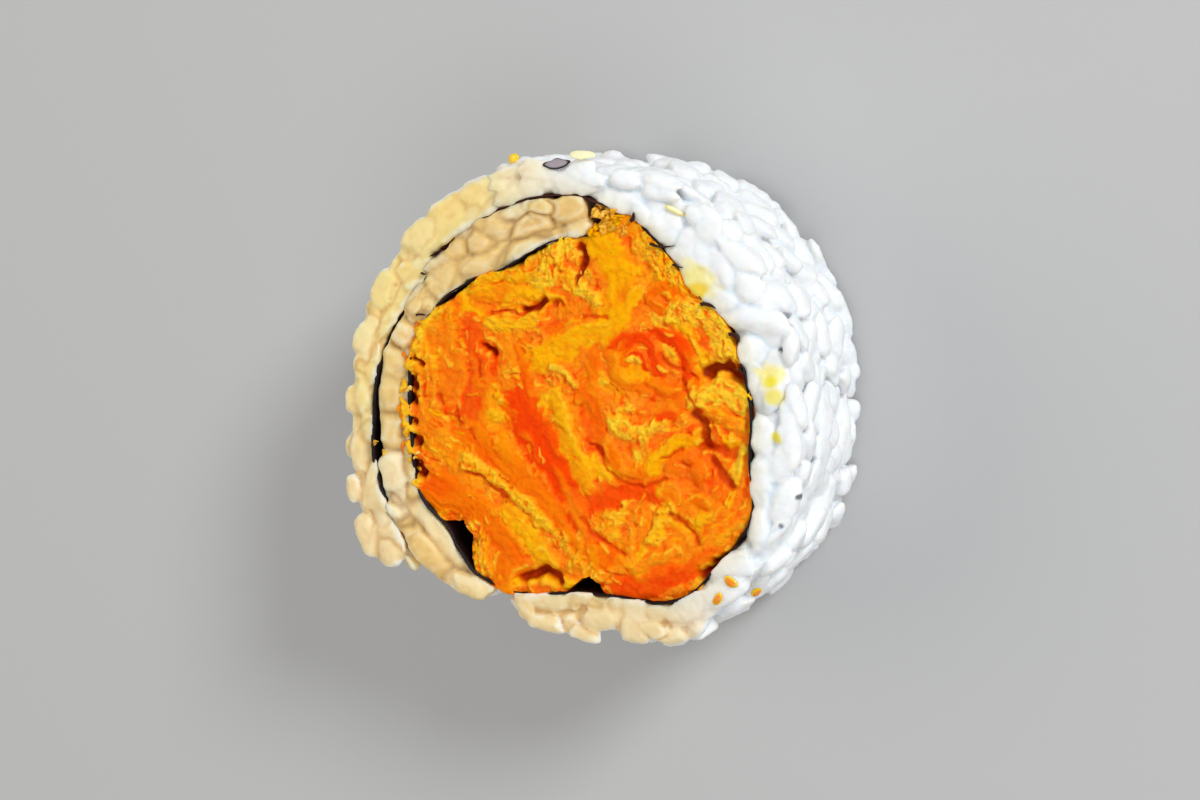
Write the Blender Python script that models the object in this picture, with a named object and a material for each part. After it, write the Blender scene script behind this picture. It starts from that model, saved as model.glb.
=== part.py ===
"""A slice of uramaki, the sushi roll with its rice outside, standing on one of its two cut faces.

A sheet of nori is wound a turn and a third round a flaked fish filling, with rice on the sheet's outer side.
The sheet's first end is tucked inside the last, so the rice there shows as a second, inner layer.
Every layer runs from one cut face to the other. Shapes are worked out in millimetres, about the
roll's middle, with angles in degrees counter-clockwise from +X as seen from above, and are scaled to
metres as meshes are made.
"""

import math
import random

import bmesh
import bpy
import numpy as np
from mathutils import Matrix, Vector

MM = 0.001
LENGTH = 23.0
SEED = 11

# The sheet: distance from the middle every WINDING_STEP degrees of its winding, and where it begins and ends
WINDING_START = 75.0
WINDING_STEP = 15.0
SHEET_RADII = (
    18.0, 17.3, 16.4, 15.7, 17.0, 18.3, 18.8, 18.6, 19.0, 20.3, 20.1, 21.6,
    21.2, 19.8, 20.6, 22.8, 22.4, 22.2, 19.9, 19.3, 19.0, 18.9, 17.9, 19.2,
    20.4, 21.5, 21.5, 21.5, 21.5, 21.1, 22.1, 22.7, 23.8, 24.6, 25.3,
)
SHEET_FIRST = 84.0
SHEET_LAST = 579.0
SHEET_THICKNESS = 0.3
SHEET_BELOW_CUT = 0.5
SHEET_ABOVE_FOOT = 0.4
GAP = 0.25
OUTLINE_STEP = 5.0
WELD_DISTANCE = 1e-7

# The rice: its depth on the sheet every WINDING_STEP degrees, from each strip's own first angle
OUTER_RICE_START = 255.0
OUTER_RICE_DEPTH = (
    3.0, 3.9, 4.2, 3.8, 3.7, 3.9, 4.6, 4.5, 5.0, 5.2, 6.5, 5.3,
    4.0, 2.9, 4.2, 4.1, 3.9, 4.5, 3.3, 3.3, 3.0, 3.8, 3.4,
)
OUTER_RICE_FIRST = 252.5
OUTER_RICE_LAST = 583.0
INNER_RICE_START = 75.0
INNER_RICE_DEPTH = (3.5, 3.6, 4.5, 5.2, 3.9, 2.6, 3.1, 3.6, 3.9, 4.2, 5.3, 3.2, 2.5)
INNER_RICE_FIRST = 85.5
INNER_RICE_LAST = 246.0
BLUNT_END_TURN = 6.0
BLUNT_END_SHARE = 0.3
RICE_BELOW_CUT = 0.55

# One cooked grain, and how the grains sit: pressed flat by the rolling mat, cut level by the knife
GRAIN_LENGTH = (4.6, 6.2)
GRAIN_WIDTH = (2.4, 3.1)
GRAIN_THICKNESS = (1.9, 2.4)
GRAIN_SIDES = 5
GRAIN_RINGS = 4
GRAIN_BLUNTNESS = 0.5
GRAIN_PROUD = (0.45, 1.0)
GRAIN_ROW_HEIGHT = 3.3
GRAIN_ROW_START = (0.5, 1.0)
GRAIN_ROW_SPACING = 6.0
GRAIN_SPACING_PLAY = (0.85, 1.15)
GRAIN_HEIGHT_PLAY = 0.7
GRAIN_FROM_FACE = 1.2
GRAIN_LEAN = 38.0
CUT_UNEVENNESS = 0.25
CUT_GRAIN_SPACING = 6.2
CUT_GRAIN_PLAY = (0.9, 1.1)
CUT_GRAIN_WALL = 0.2
CUT_GRAIN_LONGEST = 2.2
CUT_GRAIN_RISE = 0.3

# What lies on the rice: angle, height above the foot and size of each piece
SEED_SIZE = (3.0, 1.5, 0.8)
SEED_PLACE = (93.5, 21.3)
ROE_SIZE = (1.5, 1.2, 0.9)
ROE_ON_SIDE = ((-42.0, 21.9), (104.0, 21.9))
ROE_ON_CUT = ((17.3, -17.2), (16.0, -19.0))
ROE_ON_CUT_WAY = (1.0, 0.6, 0.0)
ROE_ON_CUT_RISE = 0.25
TOPPING_SUNK = 1 / 3

# The filling: hollows that stay open beside the sheet, and the relief of its cut face
FILLING_GRID = 1.15
FILLING_STEP = (74.0, 82.0)
FILLING_HOLLOWS = ((230.0, 11.0, 2.5), (275.0, 8.0, 1.8))
FILLING_BASE_DROP = 1.4
FILLING_RIM_DROP = 0.6
FILLING_RIM_ROUNDING = 8
TRIM_MARGIN = 1.0
FLAKE_STEPS = 8
# Flakes of fish: start, bend and end of the middle line, half width, and rise above the base
FLAKES = (
    ((-16.8, -10.9), (-10.0, -12.2), (-6.6, -18.6), 2.3, 1.3),
    ((-8.6, -8.6), (-4.8, -12.4), (-2.4, -16.4), 1.9, 1.0),
    ((-11.8, -4.6), (-4.8, -8.0), (5.0, -16.2), 2.5, 1.4),
    ((-8.4, 4.2), (-6.4, -1.6), (0.0, -7.6), 2.0, 0.8),
    ((-1.4, 0.4), (0.2, -4.0), (0.9, -8.8), 1.7, 1.5),
    ((3.4, -3.0), (7.0, -9.0), (12.6, -3.2), 1.6, 1.4),
    ((4.6, -1.4), (8.4, -4.4), (13.0, -1.6), 1.2, 1.1),
    ((12.9, 3.0), (9.8, 10.4), (4.6, 5.4), 1.6, 1.2),
    ((4.4, 4.8), (3.2, -0.6), (9.4, 0.6), 1.5, 1.3),
    ((5.4, 16.8), (6.6, 12.6), (4.6, 9.0), 2.5, 1.5),
    ((-4.4, 4.8), (-0.4, 7.6), (4.4, 7.8), 1.7, 1.6),
    ((-10.6, 12.0), (-3.6, 11.8), (0.0, 15.6), 1.6, 1.3),
    ((-13.8, 10.0), (-12.6, 5.4), (-15.4, 0.6), 2.4, 1.2),
    ((-16.6, -1.0), (-13.6, -4.4), (-13.2, -8.2), 2.4, 1.3),
    ((3.4, -17.6), (8.0, -16.2), (16.8, -12.6), 1.6, 1.5),
    ((6.6, -18.6), (9.8, -17.4), (12.0, -17.0), 1.7, 1.1),
    ((4.2, -12.4), (4.4, -10.2), (6.8, -9.2), 1.5, 1.4),
    ((8.8, -12.8), (10.8, -11.4), (13.0, -9.4), 1.5, 1.2),
    ((14.6, -10.8), (16.6, -10.2), (17.8, -8.0), 1.3, 1.3),
    ((12.2, 10.0), (13.6, 8.0), (15.6, 5.6), 1.7, 1.5),
    ((14.0, 1.6), (16.4, 3.2), (17.8, 0.8), 1.4, 1.5),
    ((16.0, -1.2), (17.2, -2.8), (17.8, -5.8), 1.3, 1.2),
    ((11.2, -5.4), (12.8, -4.2), (14.2, -6.6), 1.4, 1.1),
    ((-8.6, 8.2), (-6.4, 7.2), (-3.2, 9.0), 1.5, 1.1),
)
# Crevices between them: middle, half length, half width, turn and depth
CREVICES = (
    (15.6, 3.9, 2.2, 1.5, 10.0, 1.4),
    (14.2, -1.4, 1.5, 1.5, 60.0, 1.1),
    (15.8, -4.6, 1.8, 1.3, -40.0, 1.1),
    (0.8, 14.6, 2.0, 1.2, 75.0, 1.5),
    (-4.3, 9.9, 1.8, 1.0, 20.0, 1.2),
    (-9.6, 5.1, 1.3, 1.2, 0.0, 1.2),
    (-3.0, -17.9, 1.8, 1.2, 15.0, 1.6),
    (-10.4, -7.8, 2.0, 1.0, -25.0, 0.9),
    (3.9, -13.9, 2.5, 1.0, -42.0, 0.9),
    (12.3, -12.0, 2.2, 1.2, 48.0, 0.9),
)


def between(values, place):
    """The smooth line through values that stand at 0, 1, 2 and so on, read at place."""
    values = np.asarray(values, float)
    last = len(values) - 1
    place = np.clip(place, 0, last)
    first = np.clip(np.floor(place).astype(int), 0, last - 1)
    t = place - first
    before = values[np.maximum(first - 1, 0)]
    here = values[first]
    there = values[first + 1]
    after = values[np.minimum(first + 2, last)]
    return 0.5 * (
        2 * here
        + (there - before) * t
        + (2 * before - 5 * here + 4 * there - after) * t**2
        + (3 * here - before - 3 * there + after) * t**3
    )


def sheet_radius(angle):
    """How far the middle of the sheet is from the roll's middle, at this angle of its winding."""
    return between(SHEET_RADII, (angle - WINDING_START) / WINDING_STEP)


def blunt(angle, first, last):
    """1 along a strip, falling in a quarter round to a blunt end at first and at last."""
    near_end = np.clip(np.minimum(angle - first, last - angle) / BLUNT_END_TURN, 0, 1)
    rounded = np.sqrt(1 - (1 - near_end) ** 2)
    return BLUNT_END_SHARE + (1 - BLUNT_END_SHARE) * rounded


def outer_rice_rim(angle):
    """The outer strip's own outer face, under the grains that stand proud of it."""
    depth = between(OUTER_RICE_DEPTH, (angle - OUTER_RICE_START) / WINDING_STEP) - GRAIN_PROUD[0]
    return rice_back(angle) + depth * blunt(angle, OUTER_RICE_FIRST, OUTER_RICE_LAST)


def inner_rice_rim(angle):
    """The tucked strip's outer face, which stays inside the sheet's last turn."""
    depth = between(INNER_RICE_DEPTH, (angle - INNER_RICE_START) / WINDING_STEP) - 2 * GAP
    rim = rice_back(angle) + depth * blunt(angle, INNER_RICE_FIRST, INNER_RICE_LAST)
    return np.where(angle + 360 < SHEET_LAST, np.minimum(rim, sheet_face_above(angle)), rim)


def rice_back(angle):
    """The rice's inner face, a gap outside the sheet it lies on."""
    return sheet_radius(angle) + SHEET_THICKNESS / 2 + GAP


def sheet_face_above(angle):
    """The inner face of the next turn of the sheet, less a gap."""
    return sheet_radius(angle + 360) - SHEET_THICKNESS / 2 - GAP


def on_circle(radius, angle):
    """Points at these radii and angles, as an array of x, y."""
    turn = np.radians(angle)
    return np.stack([radius * np.cos(turn), radius * np.sin(turn)], axis=-1)


def band_outline(inside, outside, first, last):
    """A closed outline: along inside from first to last, and back along outside."""
    count = int(round((last - first) / OUTLINE_STEP)) + 1
    angles = np.linspace(first, last, count)
    return np.concatenate([on_circle(inside(angles), angles), on_circle(outside(angles), angles)[::-1]])


def material(name, colour, roughness):
    """A Principled BSDF of this colour."""
    made = bpy.data.materials.new(name)
    made.use_nodes = True
    shader = made.node_tree.nodes["Principled BSDF"]
    shader.inputs["Base Color"].default_value = (*colour, 1.0)
    shader.inputs["Roughness"].default_value = roughness
    shader.inputs["Metallic"].default_value = 0.0
    made.diffuse_color = (*colour, 1.0)
    return made


def add_object(name, mesh, collection, look=None):
    """A new object in the collection, with its material."""
    made = bpy.data.objects.new(name, mesh)
    collection.objects.link(made)
    if look is not None:
        mesh.materials.append(look)
    return made


def prism(name, outline, low, high, collection, look):
    """The closed outline drawn as a flat curve, extruded from low to high, and made a welded mesh."""
    curve = bpy.data.curves.new(name + "_outline", "CURVE")
    curve.dimensions = "2D"
    curve.fill_mode = "BOTH"
    curve.extrude = (high - low) / 2 * MM
    spline = curve.splines.new("POLY")
    spline.points.add(len(outline) - 1)
    for point, (x, y) in zip(spline.points, outline):
        point.co = (x * MM, y * MM, 0.0, 1.0)
    spline.use_cyclic_u = True
    drawn = add_object(name + "_outline", curve, collection)
    drawn.location.z = (high + low) / 2 * MM
    bpy.context.view_layer.update()
    graph = bpy.context.evaluated_depsgraph_get()
    mesh = bpy.data.meshes.new_from_object(drawn.evaluated_get(graph))
    mesh.transform(drawn.matrix_world)
    bpy.data.objects.remove(drawn)
    work = bmesh.new()
    work.from_mesh(mesh)
    bmesh.ops.remove_doubles(work, verts=work.verts, dist=WELD_DISTANCE)
    bmesh.ops.recalc_face_normals(work, faces=work.faces)
    work.to_mesh(mesh)
    work.free()
    return add_object(name, mesh, collection, look)


def apply_modifiers(changed):
    """Makes the object's evaluated mesh its own."""
    bpy.context.view_layer.update()
    graph = bpy.context.evaluated_depsgraph_get()
    mesh = bpy.data.meshes.new_from_object(changed.evaluated_get(graph))
    changed.modifiers.clear()
    changed.data = mesh


def fill_pockets(mesh):
    """Takes away the small shells that close off a pocket inside the mesh, leaving its outside."""
    work = bmesh.new()
    work.from_mesh(mesh)
    waiting = set(work.verts)
    shells = []
    while waiting:
        shell = set()
        edge = {waiting.pop()}
        while edge:
            shell |= edge
            edge = {link.other_vert(vert) for vert in edge for link in vert.link_edges} - shell
        waiting -= shell
        shells.append(shell)
    shells.sort(key=len)
    pockets = [vert for shell in shells[:-1] for vert in shell]
    bmesh.ops.delete(work, geom=pockets, context="VERTS")
    work.to_mesh(mesh)
    work.free()


class Grains:
    """Grains laid on a strip of rice, each its own closed mesh, then all fused to it."""

    def __init__(self, strip, rim, rng):
        self.strip = strip
        self.rim = rim
        self.rng = rng
        self.pile = bpy.data.collections.new(strip.name + "_grains")
        bpy.context.scene.collection.children.link(self.pile)

    def add(self, middle, along, out, size, low, high):
        """One grain about middle: its length along one way, its flat facing out, cut at low and high."""
        along = along.normalized()
        across = out.cross(along).normalized()
        frame = Matrix((along, across, along.cross(across))).transposed()
        work = bmesh.new()
        bmesh.ops.create_uvsphere(work, u_segments=GRAIN_SIDES, v_segments=GRAIN_RINGS, radius=0.5)
        for vert in work.verts:
            pole, side, flat = vert.co.z, vert.co.x, vert.co.y
            blunter = 1 + GRAIN_BLUNTNESS * 4 * pole**2 * (1 - 4 * pole**2)
            stretched = Vector((pole * size[0], side * size[1] * blunter, flat * size[2] * blunter))
            place = middle + frame @ stretched
            place.z = min(max(place.z, low), high)
            vert.co = place * MM
        bmesh.ops.recalc_face_normals(work, faces=work.faces)
        mesh = bpy.data.meshes.new("grain")
        work.to_mesh(mesh)
        work.free()
        add_object("grain", mesh, self.pile)

    def grain_size(self):
        """Length, width and thickness of the next grain."""
        return tuple(self.rng.uniform(*span) for span in (GRAIN_LENGTH, GRAIN_WIDTH, GRAIN_THICKNESS))

    def cut_height(self):
        """The knife's height on the next grain, a little uneven."""
        return LENGTH - self.rng.uniform(0, CUT_UNEVENNESS)

    def surface(self, angle):
        """A point of the strip's outer face, the way along it and the way out of it."""
        here, ahead = on_circle(self.rim(np.array([angle, angle + 1.0])), np.array([angle, angle + 1.0]))
        along = Vector((*(ahead - here), 0.0)).normalized()
        return Vector((*here, 0.0)), along, along.cross(Vector((0, 0, 1)))

    def lay_on_side(self, first, last):
        """Rows of grains round the strip's outer face, evenly spaced with a little play."""
        rows = round(LENGTH / GRAIN_ROW_HEIGHT)
        for row in range(rows):
            height = (row + 0.5) * LENGTH / rows
            angle = first + self.rng.uniform(*GRAIN_ROW_START) * BLUNT_END_TURN
            while angle < last:
                point, along, out = self.surface(angle)
                size = self.grain_size()
                proud = self.rng.uniform(*GRAIN_PROUD)
                lean = math.radians(self.rng.uniform(-GRAIN_LEAN, GRAIN_LEAN))
                middle = point + out * (proud - size[2] / 2)
                level = height + self.rng.uniform(-GRAIN_HEIGHT_PLAY, GRAIN_HEIGHT_PLAY)
                middle.z = min(max(level, GRAIN_FROM_FACE), LENGTH - GRAIN_FROM_FACE)
                way = along * math.cos(lean) + Vector((0, 0, 1)) * math.sin(lean)
                self.add(middle, way, out, size, GAP, self.cut_height())
                spacing = GRAIN_ROW_SPACING * self.rng.uniform(*GRAIN_SPACING_PLAY)
                angle += math.degrees(spacing / point.length)

    def lay_on_cut(self, first, last):
        """Grains along the strip's upper face, sliced level by the knife."""
        angle = first + BLUNT_END_TURN / 2
        while angle < last:
            inner = float(rice_back(np.array(angle)))
            outer = float(self.rim(np.array(angle)))
            size = list(self.grain_size())
            room = outer - inner - 2 * CUT_GRAIN_WALL
            size[1] = min(size[1], room)
            size[0] = min(size[0], CUT_GRAIN_LONGEST * room)
            play = (room - size[1]) / 2
            radius = (inner + outer) / 2 + self.rng.uniform(-play, play)
            x, y = on_circle(radius, angle)
            _, along, out = self.surface(angle)
            high = self.cut_height()
            middle = Vector((x, y, high - CUT_GRAIN_RISE * size[2]))
            self.add(middle, along, Vector((0, 0, 1)), size, GAP, high)
            angle += math.degrees(CUT_GRAIN_SPACING * self.rng.uniform(*CUT_GRAIN_PLAY) / radius)

    def fuse(self):
        """Joins the pile to the strip with one Boolean, then clears the pile away."""
        union = self.strip.modifiers.new("grains", "BOOLEAN")
        union.operation = "UNION"
        union.operand_type = "COLLECTION"
        union.collection = self.pile
        apply_modifiers(self.strip)
        fill_pockets(self.strip.data)
        for grain in list(self.pile.objects):
            bpy.data.objects.remove(grain)
        bpy.data.collections.remove(self.pile)


def rice_strip(name, rim, first, last, collection, look):
    """The bare strip of rice on the sheet between two angles."""
    outline = band_outline(rice_back, rim, first, last)
    return prism(name, outline, 0.0, LENGTH - RICE_BELOW_CUT, collection, look)


def outer_rice(collection, look, rng):
    """The rice that shows round the whole slice, with what has stuck to it."""
    strip = rice_strip("rice_outer", outer_rice_rim, OUTER_RICE_FIRST, OUTER_RICE_LAST, collection, look)
    grains = Grains(strip, outer_rice_rim, rng)
    grains.lay_on_side(OUTER_RICE_FIRST, OUTER_RICE_LAST - BLUNT_END_TURN / 2)
    grains.lay_on_cut(OUTER_RICE_FIRST, OUTER_RICE_LAST - BLUNT_END_TURN / 2)
    on_side = [(SEED_PLACE, SEED_SIZE)] + [(place, ROE_SIZE) for place in ROE_ON_SIDE]
    for (angle, height), size in on_side:
        point, along, out = grains.surface(angle + 360)
        under = grains.grain_size()
        point.z = height
        bed = point + out * (GRAIN_PROUD[1] - under[2] / 2)
        grains.add(bed, along, out, under, GAP, LENGTH - CUT_UNEVENNESS)
        place = point + out * (GRAIN_PROUD[1] + size[2] * (1 / 2 - TOPPING_SUNK))
        grains.add(place, along, out, size, GAP, LENGTH)
    for x, y in ROE_ON_CUT:
        place = Vector((x, y, LENGTH - RICE_BELOW_CUT + ROE_SIZE[2] * ROE_ON_CUT_RISE))
        grains.add(place, Vector(ROE_ON_CUT_WAY), Vector((0, 0, 1)), ROE_SIZE, GAP, LENGTH)
    grains.fuse()
    return strip


def inner_rice(collection, look, rng):
    """The rice on the tucked end of the sheet, which comes to the outside where the last turn ends."""
    strip = rice_strip("rice_inner", inner_rice_rim, INNER_RICE_FIRST, INNER_RICE_LAST, collection, look)
    grains = Grains(strip, inner_rice_rim, rng)
    bare_from = OUTER_RICE_LAST - 360 + BLUNT_END_TURN
    grains.lay_on_side(bare_from, INNER_RICE_LAST - BLUNT_END_TURN / 2)
    grains.lay_on_cut(INNER_RICE_FIRST, INNER_RICE_LAST - BLUNT_END_TURN / 2)
    grains.fuse()
    return strip


def nori(collection, look):
    """The sheet, wound from its tucked end to its last end."""
    half = SHEET_THICKNESS / 2
    outline = band_outline(
        lambda angle: sheet_radius(angle) - half,
        lambda angle: sheet_radius(angle) + half,
        SHEET_FIRST,
        SHEET_LAST,
    )
    return prism("nori", outline, SHEET_ABOVE_FOOT, LENGTH - SHEET_BELOW_CUT, collection, look)


def filling_rim(angle):
    """The filling's side: the sheet round it, less a gap and the hollows that stay open."""
    covered = np.clip((angle - FILLING_STEP[0]) / (FILLING_STEP[1] - FILLING_STEP[0]), 0, 1)
    radius = covered * sheet_radius(angle) + (1 - covered) * sheet_radius(angle + 360)
    radius = radius - SHEET_THICKNESS / 2 - GAP
    for middle, reach, depth in FILLING_HOLLOWS:
        share = np.clip(np.abs(angle - middle) / reach, 0, 1)
        radius = radius - depth * (1 + np.cos(np.pi * share)) / 2
    return radius


def distance_to(x, y, start, bend, end):
    """How far each point is from the quadratic curve that starts, bends and ends at these three."""
    t = np.linspace(0, 1, FLAKE_STEPS + 1)[:, None]
    start, bend, end = (np.array(p) for p in (start, bend, end))
    line = (1 - t) ** 2 * start + 2 * t * (1 - t) * bend + t**2 * end
    nearest = np.full(x.shape, np.inf)
    for a, b in zip(line[:-1], line[1:]):
        step = b - a
        share = np.clip(((x - a[0]) * step[0] + (y - a[1]) * step[1]) / (step @ step), 0, 1)
        nearest = np.minimum(nearest, np.hypot(x - a[0] - share * step[0], y - a[1] - share * step[1]))
    return nearest


def filling_height(x, y):
    """The filling's upper face: rounded flakes over a base, with crevices between."""
    rise = np.zeros(x.shape)
    for start, bend, end, half_width, height in FLAKES:
        share = np.clip(distance_to(x, y, start, bend, end) / half_width, 0, 1)
        rise = np.maximum(rise, height * (1 - share**2))
    for middle_x, middle_y, half_length, half_width, turn, depth in CREVICES:
        c, s = math.cos(math.radians(turn)), math.sin(math.radians(turn))
        u = ((x - middle_x) * c + (y - middle_y) * s) / half_length
        v = ((y - middle_y) * c - (x - middle_x) * s) / half_width
        rise = rise - depth * np.exp(-(u**2) - v**2)
    winding = WINDING_START + (np.degrees(np.arctan2(y, x)) - WINDING_START) % 360
    share = np.minimum(np.hypot(x, y) / filling_rim(winding), 1)
    return LENGTH - FILLING_BASE_DROP + rise - FILLING_RIM_DROP * share**FILLING_RIM_ROUNDING


def filling(collection, look):
    """The flaked fish: a block with the relief of its cut face, trimmed to the side the sheet gives."""
    angles = np.arange(WINDING_START, WINDING_START + 360, OUTLINE_STEP)
    side = on_circle(filling_rim(angles), angles)
    fish = prism("filling", side, 0.0, LENGTH + TRIM_MARGIN, collection, look)
    half = max(SHEET_RADII)
    count = int(2 * half / FILLING_GRID)
    work = bmesh.new()
    bmesh.ops.create_grid(work, x_segments=count, y_segments=count, size=half)
    places = np.array([vert.co[:2] for vert in work.verts])
    for vert, height in zip(work.verts, filling_height(*places.T)):
        vert.co.z = height
    sides = bmesh.ops.extrude_face_region(work, geom=work.faces[:])
    for vert in (item for item in sides["geom"] if isinstance(item, bmesh.types.BMVert)):
        vert.co.z = -TRIM_MARGIN
    bmesh.ops.recalc_face_normals(work, faces=work.faces)
    bmesh.ops.scale(work, vec=(MM, MM, MM), verts=work.verts)
    mesh = bpy.data.meshes.new("filling_relief")
    work.to_mesh(mesh)
    work.free()
    block = add_object("filling_relief", mesh, bpy.context.scene.collection)
    trim = fish.modifiers.new("relief", "BOOLEAN")
    trim.operation = "INTERSECT"
    trim.object = block
    apply_modifiers(fish)
    bpy.data.objects.remove(block)
    return fish


def stand_on_origin(objects):
    """Moves the slice level so that its origin is the middle of its footprint."""
    corners = [vert.co for made in objects for vert in made.data.vertices]
    middle_x = (min(c.x for c in corners) + max(c.x for c in corners)) / 2
    middle_y = (min(c.y for c in corners) + max(c.y for c in corners)) / 2
    for made in objects:
        made.data.transform(Matrix.Translation((-middle_x, -middle_y, 0)))


def main():
    """Clears the scene and makes the slice, one object for each of its four nodes."""
    for old in list(bpy.data.objects):
        bpy.data.objects.remove(old)
    roll = bpy.data.collections.new("uramaki_roll")
    bpy.context.scene.collection.children.link(roll)
    rng = random.Random(SEED)
    rice = material("cooked_rice", (0.86, 0.83, 0.76), 0.45)
    seaweed = material("nori_sheet", (0.02, 0.025, 0.02), 0.4)
    fish = material("flaked_fish", (0.95, 0.35, 0.03), 0.5)
    pieces = [
        outer_rice(roll, rice, rng),
        inner_rice(roll, rice, rng),
        nori(roll, seaweed),
        filling(roll, fish),
    ]
    stand_on_origin(pieces)


if __name__ == "__main__":
    main()
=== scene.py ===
"""Looks of the uramaki slice: pressed rice, a sheet of nori, flaked fish, a sesame seed and specks of roe.

Shapes are worked out in millimetres about the middle of the roll, with heights above its foot and angles in
degrees counter-clockwise from +X, as the solids were. Shift moves them into the frame, in metres.
"""
import logging
import math
from collections.abc import Sequence
from dataclasses import dataclass, field
from enum import Enum

import bmesh
import bpy
import numpy as np
from mathutils import Matrix, Vector


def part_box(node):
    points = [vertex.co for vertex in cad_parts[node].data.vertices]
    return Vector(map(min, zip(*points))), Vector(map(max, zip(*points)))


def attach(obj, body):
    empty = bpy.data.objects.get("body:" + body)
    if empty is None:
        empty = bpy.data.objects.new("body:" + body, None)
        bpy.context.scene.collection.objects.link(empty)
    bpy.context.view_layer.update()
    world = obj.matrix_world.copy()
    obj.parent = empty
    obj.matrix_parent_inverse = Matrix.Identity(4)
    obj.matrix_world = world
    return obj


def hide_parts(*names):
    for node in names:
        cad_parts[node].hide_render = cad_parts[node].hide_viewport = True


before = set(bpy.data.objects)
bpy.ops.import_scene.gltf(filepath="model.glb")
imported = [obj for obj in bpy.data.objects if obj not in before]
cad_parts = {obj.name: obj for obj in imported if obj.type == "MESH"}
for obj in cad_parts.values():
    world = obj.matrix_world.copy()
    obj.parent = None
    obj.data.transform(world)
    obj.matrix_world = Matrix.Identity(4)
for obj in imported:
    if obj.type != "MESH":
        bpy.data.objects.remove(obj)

LOG = logging.getLogger("uramaki")
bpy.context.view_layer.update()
MM = 0.001
LENGTH = 23.0
GAP = 0.25
Point = tuple[float, float]
Colour = tuple[float, float, float]


class Rgb(Enum):
    """The food's colours, as screen values from 0 to 255."""

    RICE_WHITE = (246, 250, 254)
    RICE_CREAM_AND_WARM_LIGHT = (250, 223, 146)
    RICE_GREY = (242, 217, 166)
    RICE_BEIGE = (242, 232, 204)
    RICE_AMBER = (214, 168, 84)
    # cream of the rice at the left of the cut, partly painted warm light
    RICE_TUCKED = (250, 220, 152)
    # warm colour of the seams between grains, also painted shade in creases
    RICE_SEAM_AND_CREASE_SHADE = (160, 112, 52)
    RICE_SHADE = (190, 206, 222)
    # pale grain tone, also used as a painted highlight on crests and edges
    RICE_PALE_AND_HIGHLIGHT = (255, 246, 230)
    STAIN_PALE = (255, 246, 200)
    STAIN_YELLOW = (255, 232, 110)
    STAIN_GREEN = (246, 228, 40)
    STAIN_DARK = (70, 78, 76)
    NORI_DARK = (22, 9, 11)
    # brown of the nori's top edge: partly sauce, partly painted light on the lit, see-through edge
    NORI_SAUCE_AND_LIT_EDGE = (96, 36, 20)
    FISH_DEEP = (252, 72, 0)
    FISH_MID = (255, 122, 0)
    FISH_YELLOW = (255, 178, 0)
    FISH_BRIGHT = (255, 208, 48)
    FISH_SHADOW = (222, 68, 0)
    # painted shade in the deepest crevices of the fish
    FISH_HOLE_SHADE = (128, 30, 6)
    SEED_GREY = (158, 147, 153)
    SEED_EDGE = (40, 32, 38)
    ROE_ORANGE = (250, 146, 8)
    ROE_YELLOW = (255, 206, 20)
    CRUMB_PALE = (255, 226, 130)

    def linear(self) -> np.ndarray:
        """The colour as linear light from 0 to 1."""
        part = np.array(self.value) / 255.0
        return np.where(part <= 0.04045, part / 12.92, ((part + 0.055) / 1.055) ** 2.4)

    def over(self, base: np.ndarray, share: np.ndarray) -> np.ndarray:
        """The colours of base moved towards this one by share."""
        return blend(base, self.linear(), share)


def smoothstep(low: float, high: float, x: np.ndarray) -> np.ndarray:
    """0 below low, 1 above high, and 3t^2 - 2t^3 between them."""
    t = np.clip((x - low) / (high - low), 0, 1)
    return t * t * (3 - 2 * t)


def catmull_rom(values: Sequence[float], place: np.ndarray) -> np.ndarray:
    """The smooth line through values that stand at 0, 1, 2 and so on, read at place.

    Args:
        values: what the line passes through.
        place: where it is read; beyond the ends it holds the end values.

    Returns:
        One value for each place.
    """
    values = np.asarray(values, float)
    last = len(values) - 1
    place = np.clip(place, 0, last)
    first = np.clip(np.floor(place).astype(int), 0, last - 1)
    t = place - first
    before, here = values[np.maximum(first - 1, 0)], values[first]
    there, after = values[first + 1], values[np.minimum(first + 2, last)]
    return 0.5 * (
        2 * here
        + (there - before) * t
        + (2 * before - 5 * here + 4 * there - after) * t**2
        + (3 * here - before - 3 * there + after) * t**3
    )


def lattice(cell: np.ndarray, seed: int) -> np.ndarray:
    """A number from 0 to 1 for each whole-numbered cell, by mixing the bits of its coordinates.

    Args:
        cell: whole numbers, x, y and z in the last axis.
        seed: which numbers.

    Returns:
        One number a cell.
    """
    mixed = seed * 2654435
    for axis, factor in enumerate((73856093, 19349663, 83492791)):
        mixed = mixed ^ (cell[..., axis] * factor)
    mixed = (mixed ^ (mixed >> 13)) * 1274126177
    return ((mixed ^ (mixed >> 16)) & 0xFFFF) / 65535.0


def noise(points: np.ndarray, scale: float, seed: int) -> np.ndarray:
    """Smooth noise from -1 to 1: lattice values at corners scale apart, blended by smoothstep.

    Args:
        points: x, y, z in the last axis.
        scale: distance between lattice corners.
        seed: which noise.

    Returns:
        One value a point.
    """
    place = points / scale
    cell = np.floor(place).astype(np.int64)
    t = place - cell
    t = t * t * (3 - 2 * t)
    total = np.zeros(points.shape[:-1])
    for corner in np.ndindex(2, 2, 2):
        weight = np.prod(np.where(np.array(corner) == 1, t, 1 - t), axis=-1)
        total += weight * lattice(cell + np.array(corner), seed)
    return total * 2 - 1


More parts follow.
